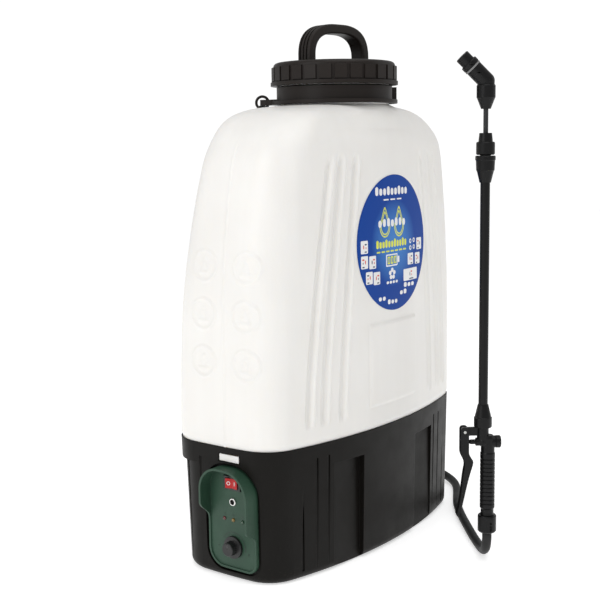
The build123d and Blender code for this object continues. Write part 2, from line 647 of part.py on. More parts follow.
with BuildLine() as delivery_path:
    off_pump = Line(OUTLET_PORT + Vector(0, 0, 3), OUTLET_PORT + Vector(0, 0, 16))
    onto_outlet = Line((OUTLET.X - 29, OUTLET.Y, OUTLET.Z), (OUTLET.X - 15, OUTLET.Y, OUTLET.Z))
    Spline(off_pump @ 1, (20, 30, 88), (110, 34, 62), onto_outlet @ 0, tangents=[(0, 0, 1), (1, 0, 0)],
           tangent_scalars=[0.7, 0.7])
save(tube_along(delivery_path.line, PIPE_R, PIPE_BORE), "delivery_hose")


def outward(x, profile):
    """Part turned about the hose outlet's axis: (radius, distance outward from x) points."""
    with BuildPart() as body:
        with BuildSketch(Plane(origin=(x, OUTLET.Y, OUTLET.Z), x_dir=(1, 0, 0), z_dir=(0, -1, 0))):
            with BuildLine():
                Polyline(*[(out, radius) for radius, out in profile], close=True)
            make_face()
        revolve(axis=Axis((x, OUTLET.Y, OUTLET.Z), (1, 0, 0)))
    return body.part


save(outward(OUTLET.X, [(1.8, -26), (BARB_R, -26), (BARB_R, -14), (6.9, -13.5), (6.9, 0), (11, 0), (11, 2.6),
                        (7, 4.4), (HOSE_BORE - RUN, 4.4), (HOSE_BORE - RUN, 22),
                        (1.8, 22)]), "outlet_fitting")
save(outward(OUTLET.X, [(6.95, -12.5), (12, -12.5), (12, -7.4), (6.95, -7.4)]), "outlet_locknut")
save(outward(OUTLET.X, [(HOSE_R + 0.1, 6), (6.4, 6), (6.4, 19), (HOSE_R + 0.1, 19)]), "hose_sleeve")

with BuildPart() as rubber_feet:
    with Locations(*[(x, y, FOOT_H / 2) for x in (-140, 140) for y in (-48, 42)]):
        Cylinder(11, FOOT_H)
save(rubber_feet.part, "rubber_feet")

# ------------------------------------------------------------------ spray lance
LANCE = side_plane(LANCE_AT.X, LANCE_AT.Y, LANCE_AT.Z, LANCE_YAW)
GRIP_FOOT = LANCE_AT + LANCE.x_dir * GRIP_X
GRIP = side_plane(GRIP_FOOT.X, GRIP_FOOT.Y, GRIP_FOOT.Z, LANCE_YAW)
TUBE_R, TUBE_BORE = 4.9, 4.0
ROD_R, ROD_BORE = 2.5, 1.7
VALVE_Z = 98.7
PIVOT = (-19.4, 110.2)
VALVE_BOSS = 12.8  # the valve boss ends this far out from the tube's axis


def across(out, height):
    """Plane square to the lance's sideways axis, at a distance out from the tube's axis."""
    centre = LANCE.origin + LANCE.x_dir * out + Vector(0, 0, height)
    return Plane(origin=centre, x_dir=(0, 0, 1), z_dir=LANCE.x_dir)


def crosswise(start, end, radius, height=VALVE_Z):
    """Round bar lying along the lance's sideways axis."""
    with BuildPart() as bar:
        with BuildSketch(across(start, height)):
            Circle(radius)
        extrude(amount=end - start)
    return bar.part


save(turned(GRIP, [(1.7, -11), (HOSE_BORE - RUN, -11), (HOSE_BORE - RUN, -0.5), (3.5, 0), (3.5, 3.2),
                   (6.3, 3.2), (6.3, 5), (4.0, 5), (4.0, 14), (1.7, 14)]), "hose_tail")

with BuildPart() as hose_nut:
    add(turned(GRIP, [(3.55, 0.6), (8.6, 0.6), (9.8, 2), (9.8, 18), (9, 19.2), (6.45, 19.2), (6.45, 3.1),
                      (3.55, 3.1)]))
    add(grooves(GRIP, 9.8, 2.6, 17.4, 20), mode=Mode.SUBTRACT)
save(hose_nut.part, "hose_nut")

with BuildPart() as lance_handle:
    add(turned(GRIP, [(0, 5.1), (6.4, 5.1), (6.4, 19.4), (7.2, 19.6), (6.8, 22), (6.8, 26), (7.8, 27.5),
                      (7.8, 86.5), (7.2, 88), (7.2, 103), (5.4, 106), (0, 106)]))
    ring_cuts = [(7.0, 0), (7.9, -0.9), (7.9, 0.9)]
    for ring in range(12):
        height = 32 + 4.4 * ring
        add(turned(GRIP, [(radius, height + up) for radius, up in ring_cuts]), mode=Mode.SUBTRACT)
    add(turned(LANCE, [(0, 92), (5.4, 96), (6.2, 101), (6.2, 114.4), (4.9, 114.4), (4.9, 120), (0, 120)]))
    add(crosswise(-1, VALVE_BOSS, 6.4))
    add(crosswise(-7.5, 0, 4.3))
    # lug that carries the trigger
    with BuildSketch(LANCE):
        with BuildLine():
            Polyline((0, 105.7), (PIVOT[0], 105.7), (PIVOT[0], 114.5), (0, 114.5), close=True)
        make_face()
        with Locations(PIVOT):
            Circle(4.2)
        with Locations(PIVOT):
            Circle(1.5 + RUN, mode=Mode.SUBTRACT)
    extrude(amount=2.0, both=True)
    # waterway, valve bore and spring chamber
    add(turned(GRIP, [(0, 5), (4.0 + RUN, 5), (4.0 + RUN, 14.5), (2, 16), (2, VALVE_Z), (0, VALVE_Z)]),
                      mode=Mode.SUBTRACT)
    add(turned(LANCE, [(0, VALVE_Z), (2, VALVE_Z), (2, 121), (0, 121)]), mode=Mode.SUBTRACT)
    add(crosswise(-12, 4, 2.6 + RUN), mode=Mode.SUBTRACT)
    add(crosswise(3, VALVE_BOSS + 1, 4.4), mode=Mode.SUBTRACT)
save(lance_handle.part, "lance_handle")

with BuildPart() as valve_pin:
    add(crosswise(-12.4, 3.4, 2.6))
    with BuildSketch(LANCE):
        with Locations((-12.4, VALVE_Z)):
            Circle(2.6)
            Rectangle(10, 6, align=(Align.MIN, Align.CENTER), mode=Mode.SUBTRACT)
            Rectangle(10, 3, align=(Align.CENTER, Align.MAX), mode=Mode.SUBTRACT)
    revolve(axis=Axis(across(0, VALVE_Z).origin, LANCE.x_dir))
    add(crosswise(3.4, 5.4, 3.9))
    add(crosswise(5.4, 6.6, 1.6))
save(valve_pin.part, "valve_pin")

with BuildPart() as valve_cap:
    add(crosswise(VALVE_BOSS + RUN, 18.6, 6.6))
    chamfer(valve_cap.edges().filter_by(GeomType.CIRCLE), 0.8)
    add(crosswise(11.2, VALVE_BOSS + 1, 4.35))
    add(crosswise(11, 16.4, 3.7), mode=Mode.SUBTRACT)
save(valve_cap.part, "valve_cap")

coil = across(5.8, VALVE_Z) * Helix(pitch=1.6, height=10, radius=3.2)
with BuildPart() as valve_spring:
    with BuildSketch(Plane(origin=coil @ 0, z_dir=coil % 0)):
        Circle(0.3)
    sweep(path=coil)
save(valve_spring.part, "valve_spring")

with BuildPart() as trigger:
    with BuildSketch(LANCE):
        with BuildLine():
            left = Polyline((-24, 90), (-24, 112))
            top = Bezier(left @ 1, (-24, 115.6), (-19.6, 115.6))
            right = Bezier(top @ 1, (-15.2, 115.6), (-15.2, 111))
            down = Line(right @ 1, (-15.2, 90))
            bulge = Bezier(down @ 1, (-15.2, 82), (-9.5, 81.5), (-10.8, 76))
            inner = Bezier(bulge @ 1, (-12.5, 68), (-17, 60), (-19.8, 34), (-25, 19.5))
            tip = Bezier(inner @ 1, (-26.5, 17.8), (-28, 20.5))
            outer = Bezier(tip @ 1, (-22.5, 36), (-22.5, 58), (-19.4, 72))
            Bezier(outer @ 1, (-18.2, 80), (-24, 82), left @ 0)
        make_face()
        with Locations(PIVOT):
            Circle(1.5 + RUN, mode=Mode.SUBTRACT)
    extrude(amount=5.5, both=True)
    with BuildSketch(LANCE):
        with Locations((PIVOT[0], 110)):
            Rectangle(16, 13)
    extrude(amount=2.1, both=True, mode=Mode.SUBTRACT)
save(trigger.part, "trigger")

with BuildPart() as trigger_pin:
    with BuildSketch(LANCE):
        with Locations(PIVOT):
            Circle(1.5)
    extrude(amount=5.5, both=True)
save(trigger_pin.part, "trigger_pin")

with BuildPart() as lance_nut:
    add(turned(LANCE, [(4.95, 114.6), (8.6, 114.6), (9.4, 115.6), (9.4, 125), (8.6, 126), (5.6, 138.8),
                       (4.95, 138.8)]))
    add(grooves(LANCE, 9.4, 115.8, 139.5, 12, 2.2, 0.9), mode=Mode.SUBTRACT)
save(lance_nut.part, "lance_nut")

save(turned(LANCE, [(TUBE_BORE, 120.2), (TUBE_R, 120.2), (TUBE_R, 388), (TUBE_BORE, 388)]), "lance_tube")

with BuildPart() as upper_union:
    add(turned(LANCE, [(TUBE_R + RUN, 370), (5.8, 370), (8.6, 381.5), (9.3, 382.5), (9.7, 392),
                       (10.3, 393), (10.3, 396.4), (9.6, 397.2), (5.5, 397.2), (5.5, 405),
                       (ROD_R + RUN, 405), (ROD_R + RUN, 388.1), (TUBE_R + RUN, 388.1)]))
    add(grooves(LANCE, 9.4, 366, 391, 12, 2.2, 1.0), mode=Mode.SUBTRACT)
save(upper_union.part, "upper_union")

with BuildPart() as clamp_nut:
    add(turned(LANCE, [(5.5 + RUN, 398), (8.6, 398), (9.5, 399), (9.5, 410), (8.8, 411), (7.3, 411.2),
                       (6.4, 420), (ROD_R + RUN, 420), (ROD_R + RUN, 405.3), (5.5 + RUN, 405.3)]))
    add(grooves(LANCE, 9.5, 399.5, 409.6, 20), mode=Mode.SUBTRACT)
save(clamp_nut.part, "clamp_nut")

save(turned(LANCE, [(ROD_BORE, 215), (TUBE_BORE - RUN, 215), (TUBE_BORE - RUN, 222), (ROD_R, 223),
                    (ROD_R, 455.6), (ROD_BORE, 455.6)]), "inner_tube")

with BuildPart() as nozzle_nut:
    add(turned(LANCE, [(ROD_R + RUN, 444), (4.9, 444), (8.8, 454), (9.5, 455.4), (9.5, 467),
                       (8.8, 468.3), (4.55, 468.3), (4.55, 455.8), (ROD_R + RUN, 455.8)]))
    add(grooves(LANCE, 9.5, 456, 466.4, 20), mode=Mode.SUBTRACT)
save(nozzle_nut.part, "nozzle_nut")

# nozzle, leaning 45 degrees off the tube towards the trigger's side
LEAN = 45.0
lean_side = LANCE.x_dir * cos(radians(LEAN)) + Vector(0, 0, sin(radians(LEAN)))
NOZZLE = Plane(origin=LANCE.origin + Vector(0, 0, BEND_Z), x_dir=lean_side, z_dir=LANCE.z_dir)

with BuildPart() as nozzle_elbow:
    with Locations(NOZZLE.origin):
        Sphere(8.6)
    add(turned(NOZZLE, [(0, 0), (8.6, 0), (8.6, 17.6), (8.0, 18.2), (6.95, 18.2), (6.95, 20.3),
                        (5.0, 20.3), (5, 27.4), (0, 27.4)]))
    add(turned(LANCE, [(0, 456), (12, 456), (12, 468.5), (0, 468.5)]), mode=Mode.SUBTRACT)
    add(turned(LANCE, [(0, 456), (4.5, 456), (4.5, 468.5), (8.4, 468.5), (8.6, BEND_Z), (0, BEND_Z)]))
    with Locations(NOZZLE.origin + Vector(0, 0, -14)):
        Cylinder(1.7, 30, mode=Mode.SUBTRACT)
    add(turned(NOZZLE, [(0, 0), (1.7, 0), (1.7, 28), (0, 28)]), mode=Mode.SUBTRACT)
    add(grooves(NOZZLE, 8.6, 7, 17.2, 14, 1.6, 0.6), mode=Mode.SUBTRACT)
save(nozzle_elbow.part, "nozzle_elbow")

save(turned(NOZZLE, [(7.0, 18.3), (8.9, 18.3), (9.2, 18.8), (9.2, 19.7), (8.9, 20.2), (7.0, 20.2)]),
                     "nozzle_oring")
save(turned(NOZZLE, [(0.9, 27.8), (4.9, 27.8), (4.9, 29.6), (0.9, 29.6)]), "swirl_disc")

with BuildPart() as nozzle_cap:
    add(turned(NOZZLE, [(5.05, 20.4), (8.6, 20.4), (9.2, 21), (9.2, 25), (8.6, 25.7), (7.4, 25.8),
                        (7.4, 34.3), (6.6, 35.1), (3.4, 35.1), (2.2, 33.4), (0.7, 32.8), (0.7, 30.0),
                        (5.05, 29.9)]))
    add(grooves(NOZZLE, 9.2, 21, 25, 22, 1.2, 0.8), mode=Mode.SUBTRACT)
save(nozzle_cap.part, "nozzle_cap")

# ------------------------------------------------------------------ spray hose across the floor to the tub
away = LANCE.z_dir * -1
foot = GRIP.origin
with BuildLine() as hose_path:
    up_tail = Line(foot + Vector(0, 0, -1), foot + Vector(0, 0, -10))
    into_outlet = Line(OUTLET + Vector(30, 0, 0), OUTLET + Vector(5, 0, 0))
    Spline(up_tail @ 1, foot + away * 34 + Vector(0, 0, HOSE_R + 3 - foot.Z), Vector(146, -94, HOSE_R + 0.8),
           Vector(226, -44, HOSE_R + 1.2), Vector(244, 6, 14), into_outlet @ 0,
           tangents=[(0, 0, -1), (-1, 0, 0)])
save(tube_along(hose_path.line, HOSE_R, HOSE_BORE), "spray_hose")

# ------------------------------------------------------------------ harness
def strap(path_points, width, thick, x):
    """Flat strap: a curve in the YZ plane thickened and drawn out along X."""
    with BuildPart() as band:
        with BuildSketch(Plane(origin=(x, 0, 0), x_dir=(0, 1, 0), z_dir=(1, 0, 0))):
            with BuildLine():
                spine = Spline(*path_points)
            trace(spine, line_width=thick)
        extrude(amount=width / 2, both=True)
    return band.part


RING_R = 6.8
RING_REACH = LUG_REACH + RING_R - 0.8
WEB_TOP, WEB_FOOT = Vector(0, 85, 190), Vector(0, 75, 46)
BUCKLE_AT = 0.3  # how far down the lower webbing the buckle sits

UPPER_WEB_X = 57

with BuildPart() as shoulder_straps:
    for side in (-1, 1):
        add(strap([(76, 432), (90, 380), (98, 320), (95, 255), (86, 200)], STRAP_W, 10, side * STRAP_X))
save(shoulder_straps.part, "shoulder_straps")

with BuildPart() as upper_webbing:
    for side in (-1, 1):
        add(strap([(70, 481), (74, 465), (78, 446)], WEB_W, 2, side * UPPER_WEB_X))
save(upper_webbing.part, "upper_webbing")

with BuildPart() as lower_webbing:
    for side in (-1, 1):
        add(strap([(85, 190), (80, 118), (75, 46)], WEB_W, 2, side * LOWER_LUG_X))
save(lower_webbing.part, "lower_webbing")

with BuildPart() as strap_rings:
    for turn in (LUG_TURN, 180 - LUG_TURN):
        out = Vector(cos(radians(turn)), sin(radians(turn)), 0)
        centre = Vector(0, NECK_Y, COLLAR_LOW + 3) + out * RING_REACH
        with BuildSketch(Plane(origin=centre + out * RING_R, x_dir=out, z_dir=(0, 0, 1))):
            Circle(1.5)
        revolve(axis=Axis(centre, out.cross(Vector(0, 0, 1))))
save(strap_rings.part, "strap_rings")

with BuildPart() as strap_pins:
    for side in (-1, 1):
        with Locations((side * LOWER_LUG_X, 70.5, LOWER_LUG_Z)):
            with Locations(Rotation(0, 90, 0)):
                Cylinder(2.4, 42)
save(strap_pins.part, "strap_pins")

slope = (WEB_FOOT - WEB_TOP).normalized()
with BuildPart() as strap_buckles:
    for side in (-1, 1):
        spot = WEB_TOP + (WEB_FOOT - WEB_TOP) * BUCKLE_AT + Vector(side * LOWER_LUG_X, 0, 0)
        with BuildSketch(Plane(origin=spot, x_dir=(1, 0, 0), z_dir=slope)):
            RectangleRounded(42, 10, 3)
            Rectangle(31.5, 2.8, mode=Mode.SUBTRACT)
        extrude(amount=12, both=True)
save(strap_buckles.part, "strap_buckles")
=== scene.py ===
"""Looks of the battery backpack sprayer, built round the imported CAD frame.

Sizes are in metres in the CAD frame: +Z up, the label face along -Y, the control panel along -X.
Pieces that bend, are sewn or carry moulded detail are made here and replace plain CAD solids; every other node
keeps its CAD shape and gets a material.
"""

import json
import math

import bmesh
import bpy
import numpy as np
from mathutils import Matrix, Vector

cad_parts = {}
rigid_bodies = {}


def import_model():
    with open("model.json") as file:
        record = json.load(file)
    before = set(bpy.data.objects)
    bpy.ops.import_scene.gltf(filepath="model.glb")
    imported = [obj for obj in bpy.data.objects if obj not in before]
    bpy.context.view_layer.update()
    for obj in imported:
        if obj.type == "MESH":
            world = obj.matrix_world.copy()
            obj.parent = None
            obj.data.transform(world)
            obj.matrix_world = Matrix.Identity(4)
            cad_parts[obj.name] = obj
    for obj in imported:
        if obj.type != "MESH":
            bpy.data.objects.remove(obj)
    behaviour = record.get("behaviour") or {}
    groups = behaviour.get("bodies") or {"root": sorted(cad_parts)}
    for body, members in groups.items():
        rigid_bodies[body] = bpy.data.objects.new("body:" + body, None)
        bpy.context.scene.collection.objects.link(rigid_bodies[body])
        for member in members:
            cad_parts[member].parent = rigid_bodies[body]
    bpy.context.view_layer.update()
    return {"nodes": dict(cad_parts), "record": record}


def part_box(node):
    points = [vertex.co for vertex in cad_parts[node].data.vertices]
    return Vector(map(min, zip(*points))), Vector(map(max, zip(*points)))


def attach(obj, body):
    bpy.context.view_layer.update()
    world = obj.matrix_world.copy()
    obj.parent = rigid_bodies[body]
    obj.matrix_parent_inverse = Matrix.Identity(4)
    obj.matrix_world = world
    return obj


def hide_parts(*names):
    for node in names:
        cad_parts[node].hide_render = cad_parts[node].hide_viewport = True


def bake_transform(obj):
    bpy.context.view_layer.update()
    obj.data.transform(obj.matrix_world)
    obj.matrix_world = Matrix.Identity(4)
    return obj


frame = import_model()
NODES = frame["nodes"]


# ------------ mesh helpers
def add_object(name, mesh):
    """Puts a mesh in the scene as an object."""
    piece = bpy.data.objects.new(name, mesh)
    bpy.context.scene.collection.objects.link(piece)
    return piece


def new_object(name, points, faces):
    """Smooth-shaded mesh object from plain vertex and face lists."""
    mesh = bpy.data.meshes.new(name)
    mesh.from_pydata([tuple(p) for p in points], [], faces)
    mesh.validate()
    for polygon in mesh.polygons:
        polygon.use_smooth = True
    return add_object(name, mesh)


def made_from(shape, name):
    """Object from a bmesh, which is freed."""
    mesh = bpy.data.meshes.new(name)
    shape.to_mesh(mesh)
    shape.free()
    return add_object(name, mesh)


def grid_faces(rows, columns, closed_columns=False):
    """Quad faces of a rows x columns grid of points."""
    faces = []
    for i in range(rows - 1):
        for j in range(columns if closed_columns else columns - 1):
            a, b = i * columns + j, i * columns + (j + 1) % columns
            faces.append((a, b, b + columns, a + columns))
    return faces


def smoothstep(low, high, value):
    """0 below low, 1 above high, smooth between."""
    t = min(1.0, max(0.0, (value - low) / (high - low)))
    return t * t * (3 - 2 * t)


def bump(value, half_width, edge):
    """1 within half_width of zero, falling to 0 over edge."""
    return 1 - smoothstep(half_width, half_width + edge, abs(value))


def bezier(points, count):
    """Points along one cubic Bezier curve."""
    p0, p1, p2, p3 = (Vector(p) for p in points)
    out = []
    for k in range(count):
        t = k / (count - 1)
        s = 1 - t
        out.append(p0 * s**3 + p1 * 3 * s * s * t + p2 * 3 * s * t * t + p3 * t**3)
    return out


def smooth_path(points, count):
    """Evenly spaced points along a Catmull-Rom curve through the given points."""
    knots = [Vector(p) for p in points]
    knots = [knots[0] * 2 - knots[1]] + knots + [knots[-1] * 2 - knots[-2]]
    fine = []
    for i in range(1, len(knots) - 2):
        p0, p1, p2, p3 = knots[i - 1 : i + 3]
        for k in range(40):
            t = k / 40
            fine.append(0.5 * (2 * p1 + (p2 - p0) * t + (2 * p0 - 5 * p1 + 4 * p2 - p3) * t * t
                               + (3 * p1 - p0 - 3 * p2 + p3) * t**3))
    fine.append(knots[-2])
    lengths = [0.0]
    for a, b in zip(fine, fine[1:]):
        lengths.append(lengths[-1] + (b - a).length)
    out, k = [], 0
    for n in range(count):
        want = lengths[-1] * n / (count - 1)
        while k < len(lengths) - 2 and lengths[k + 1] < want:
            k += 1
        share = (want - lengths[k]) / max(1e-9, lengths[k + 1] - lengths[k])
        out.append(fine[k].lerp(fine[k + 1], share))
    return out


def closed_sweep(name, points, count):
    """Object skinned over sections of count points each, its two ends closed."""
    faces = grid_faces(len(points) // count, count, closed_columns=True)
    faces.append(tuple(range(count))[::-1])
    faces.append(tuple(range(len(points) - count, len(points))))
    return new_object(name, points, faces)


def tube(name, path, radius, sides=28):
    """Round tube along a list of points, with closed ends."""
    rings, side = [], None
    for k, point in enumerate(path):
        ahead = path[min(k + 1, len(path) - 1)] - path[max(k - 1, 0)]
        ahead.normalize()
        if side is None:
            side = ahead.orthogonal().normalized()
        side = (side - ahead * side.dot(ahead)).normalized()
        up = ahead.cross(side)
        rings += [point + (side * math.cos(a) + up * math.sin(a)) * radius
                  for a in (2 * math.pi * j / sides for j in range(sides))]
    return closed_sweep(name, rings, sides)


# ------------ the tank's outline, as in the CAD
# plan at the tank's foot: half width, then where each face stands and how far it bows
CORNER_X, SIDE_BULGE = 0.181, 0.004
FRONT_Y, FRONT_BULGE = -0.0935, 0.030
BACK_Y, BACK_HOLLOW = 0.068, 0.012
CORNER_R, CORNER_GROWTH = 0.040, 0.006
# heights, the taper of each face and the rounded shoulders
BASE_H, TANK_TOP, TAPER_START = 0.141, 0.488, 0.262
SIDE_LEAN, SIDE_RISE, FRONT_LEAN, BACK_RISE = 0.026, 0.008, 0.004, 0.024
LEAN_CURVE, RISE_CURVE = 1.7, 1.8
SIDE_SHOULDER, FRONT_SHOULDER, BACK_SHOULDER = 0.066, 0.046, 0.024
FOOT_TUCK, FOOT_TUCK_H = 0.0012, 0.006
NECK_Y, NECK_R, NECK_BORE = -0.018, 0.060, 0.0565
NECK_PROFILE = ((NECK_R, 0.4900), (NECK_R, 0.5000), (NECK_R, 0.5235), (NECK_BORE, 0.5240), (NECK_BORE, 0.4800))
# points along the outline: the front, each corner, each side, the back
FRONT_N, CORNER_N, SIDE_N, BACK_N = 300, 34, 44, 110


def shoulder(z, radius):
    """Inset of a rounded shoulder that ends at TANK_TOP."""
    rise = z - (TANK_TOP - radius)
    return 0.0 if rise <= 0 else radius - math.sqrt(max(0.0, radius**2 - rise**2))


def insets(z):
    """Side, front and back inset of the tank at height z, then its front and back corner radii."""
    lean = max(0.0, (z - TAPER_START) / (TANK_TOP - TAPER_START)) ** LEAN_CURVE
    rise = max(0.0, (z - BASE_H) / (TANK_TOP - BASE_H)) ** RISE_CURVE
    foot = FOOT_TUCK * (1 - smoothstep(0, FOOT_TUCK_H, z - BASE_H))
    side = SIDE_LEAN * lean + SIDE_RISE * rise + shoulder(z, SIDE_SHOULDER) + foot
    front = FRONT_LEAN * lean + shoulder(z, FRONT_SHOULDER) + foot
    back = BACK_RISE * rise + shoulder(z, BACK_SHOULDER) + foot
    corner = CORNER_R + CORNER_GROWTH * rise
    front_corner = corner - 0.8 * shoulder(z, BACK_SHOULDER)
    back_corner = corner - 0.45 * shoulder(z, SIDE_SHOULDER)
    return side, front, back, front_corner, back_corner


def circles_meet(c0, r0, c1, r1, near):
    """Point where two circles meet, the one closer to near."""
    d = c1 - c0
    a = (r0 * r0 - r1 * r1 + d.length_squared) / (2 * d.length)
    h = math.sqrt(max(0.0, r0 * r0 - a * a))
    u = d.normalized()
    mid = c0 + u * a
    options = [mid + Vector((-u.y, u.x)) * h, mid - Vector((-u.y, u.x)) * h]
    return min(options, key=lambda p: (p - near).length)


def arc(centre, radius, start, end, count):
    """Points on a circle the short way from start towards end, without the end itself."""
    a0 = math.atan2(start.y - centre.y, start.x - centre.x)
    a1 = math.atan2(end.y - centre.y, end.x - centre.x)
    if a1 - a0 > math.pi:
        a1 -= 2 * math.pi
    if a0 - a1 > math.pi:
        a1 += 2 * math.pi
    return [Vector((centre.x + radius * math.cos(a0 + (a1 - a0) * k / count),
                    centre.y + radius * math.sin(a0 + (a1 - a0) * k / count))) for k in range(count)]


def mirror(point):
    """The same plan point on the other side of the tank."""
    return Vector((-point.x, point.y))


def outline(side, front, back, front_turn, back_turn):
    """Plan outline as points in order, starting along the front and going round by the right side."""
    x = CORNER_X - side
    spread = (x / CORNER_X) ** 2
    front_mid, back_mid = FRONT_Y + front, BACK_Y - back
    front_sag, back_sag = FRONT_BULGE * spread, BACK_HOLLOW * spread
    front_corner, back_corner = front_mid + front_sag, back_mid + back_sag
    mid_y, half = (front_corner + back_corner) / 2, (back_corner - front_corner) / 2
    front_r = (x * x + front_sag**2) / (2 * front_sag)
    back_r = (x * x + back_sag**2) / (2 * back_sag)
    side_r = (half**2 + SIDE_BULGE**2) / (2 * SIDE_BULGE)
    front_c, back_c = Vector((0, front_mid + front_r)), Vector((0, back_mid + back_r))
    side_c = Vector((x + SIDE_BULGE - side_r, mid_y))
    low = circles_meet(front_c, front_r - front_turn, side_c, side_r - front_turn,
                       Vector((x - front_turn, front_corner + front_turn)))
    high = circles_meet(back_c, back_r + back_turn, side_c, side_r - back_turn,
                        Vector((x - back_turn, back_corner - back_turn)))
    touch_front = front_c + (low - front_c).normalized() * front_r
    touch_low = side_c + (low - side_c).normalized() * side_r
    touch_high = side_c + (high - side_c).normalized() * side_r
    touch_back = back_c + (high - back_c).normalized() * back_r

    points = arc(front_c, front_r, mirror(touch_front), touch_front, FRONT_N)
    points += arc(low, front_turn, touch_front, touch_low, CORNER_N)
    points += arc(side_c, side_r, touch_low, touch_high, SIDE_N)
    points += arc(high, back_turn, touch_high, touch_back, CORNER_N)
    points += arc(back_c, back_r, touch_back, mirror(touch_back), BACK_N)
    points += [mirror(p) for p in arc(high, back_turn, touch_back, touch_high, CORNER_N)]
    points += [mirror(p) for p in arc(side_c, side_r, touch_high, touch_low, SIDE_N)]
    points += [mirror(p) for p in arc(low, front_turn, touch_low, touch_front, CORNER_N)]
    return points


def front_at(x, z, lift=0.0):
    """Point on the tank's label face at x and z, lifted off it."""
    side, front, *_ = insets(z)
    half = CORNER_X - side
    sag = FRONT_BULGE * (half / CORNER_X) ** 2
    radius = (half**2 + sag**2) / (2 * sag)
    centre = Vector((0, FRONT_Y + front + radius))
    out = (Vector((x, centre.y - math.sqrt(radius**2 - x * x))) - centre).normalized()
    spot = centre + out * (radius + lift)
    return Vector((spot.x, spot.y, z))


# ------------ tank
LABEL_X, LABEL_Z, LABEL_W, LABEL_H = 0.0055, 0.3400, 0.0680, 0.0735
MOULD_X = 0.003
RIB_FOOT_Z, RIB_TOP_Z, RIB_CURVE = 0.160, 0.434, 1.45
# each rib's distance from MOULD_X at its foot and at its top
RIBS = ((0.137, 0.102), (0.117, 0.086), (0.091, 0.064))
# depth, half width and edge of a rib's groove, and of the ridge beside it
GROOVE, RIDGE, RIDGE_OFF = (0.0030, 0.0012, 0.0034), (0.0020, 0.0005, 0.0035), 0.0062
PANEL_X, PANEL_LOW, PANEL_HIGH, PANEL_RAISE = 0.047, 0.165, 0.256, 0.0022
LABEL_SEAT = 0.003
MARK_Y, MARK_Z, MARK_R = (-0.036, 0.018), (0.326, 0.277, 0.228), 0.0155
PARTING_Y = -0.008
SWEEP_Z, SWEEP_STEPS = 0.462, 44
RELIEF_TOP = 0.470
LUG_AT, LUG_SIZE = (-0.1812, -0.0128, 0.1300), (0.0064, 0.026, 0.0074)


def front_relief(x, z):
    """How far the moulding stands off the plain label face at x and z."""
    side = abs(x - MOULD_X)
    height = 0.0
    span = (z - RIB_FOOT_Z) / (RIB_TOP_Z - RIB_FOOT_Z)
    if -0.05 < span < 1.05:
        ends = smoothstep(-0.01, 0.03, span) * (1 - smoothstep(0.96, 1.02, span))
        for foot, top in RIBS:
            along = foot + (top - foot) * max(0.0, span) ** RIB_CURVE
            height -= GROOVE[0] * bump(side - along, *GROOVE[1:]) * ends
            height += RIDGE[0] * bump(side - along + RIDGE_OFF, *RIDGE[1:]) * ends
    inside = min(PANEL_X - side, z - PANEL_LOW, PANEL_HIGH - z)
    height += PANEL_RAISE * smoothstep(0.0, 0.0028, inside)
    # the label's seat is left smooth
    clear = math.hypot((x - LABEL_X) / (LABEL_W + LABEL_SEAT), (z - LABEL_Z) / (LABEL_H + LABEL_SEAT))
    return height * smoothstep(1.0, 1.08, clear)


def side_relief(y, z):
    """Moulded round marks, each a ring round a plain wedge, and the parting line on the narrow faces."""
    height = 0.0009 * bump(y - PARTING_Y, 0.0003, 0.0010)
    for mark_y in MARK_Y:
        for mark_z in MARK_Z:
            dy, dz = y - mark_y, z - mark_z
            reach = math.hypot(dy, dz)
            if reach > MARK_R + 0.003:
                continue
            height += 0.0010 * bump(reach - MARK_R, 0.0004, 0.0010)
            wedge = max(abs(dy) * 1.5 + (dz + 0.002) * 0.55, abs(dz) * 0.9) - 0.0062
            height += 0.0008 * bump(wedge, 0.0004, 0.0009)
    return height


def shoulder_sweep(ring, climbs):
    """Points from one outline point up over the shoulder to the neck's foot, for every point of the ring."""
    sweep = []
    for start, climb in zip(ring, climbs):
        away = Vector((start.x, start.y - NECK_Y, 0))
        reach = away.length - NECK_R
        away.normalize()
        neck = Vector((away.x * NECK_R, NECK_Y + away.y * NECK_R, TANK_TOP + 0.0005))
        handle = min(0.40 * max(reach, 0.004), 0.026)
        over = neck + away * max(reach, 0.004) * 0.55 + Vector((0, 0, -0.0022))
        sweep.append(bezier((start, start + climb * handle, over, neck), SWEEP_STEPS))
    return sweep


def make_tank():
    """Blow-moulded tank skin: outlines stacked to the shoulder, then swept in to the neck."""
    levels = [BASE_H + 0.0002, BASE_H + 0.001, BASE_H + 0.002, BASE_H + 0.0035]
    levels += list(np.arange(BASE_H + 0.005, SWEEP_Z, 0.0014)) + [SWEEP_Z]
    rings = []
    for z in levels:
        rings.append([Vector((p.x, p.y, z)) for p in outline(*insets(z))])
    columns = len(rings[0])
    lower_z = SWEEP_Z - 0.003
    lower = [Vector((p.x, p.y, lower_z)) for p in outline(*insets(lower_z))]
    climbs = [(high - low).normalized() for high, low in zip(rings[-1], lower)]
    sweep = shoulder_sweep(rings[-1], climbs)
    for k in range(1, SWEEP_STEPS):
        rings.append([path[k] for path in sweep])
    # up the outside of the neck, over its lip and down the bore
    foot = rings[-1]
    for radius, z in NECK_PROFILE:
        share = radius / NECK_R
        rings.append([Vector((p.x * share, NECK_Y + (p.y - NECK_Y) * share, z)) for p in foot])
    points = [p for ring in rings for p in ring]
    piece = new_object("tank_skin", points, grid_faces(len(rings), columns, closed_columns=True))
    piece.data.update()
    add_relief(piece)
    return piece


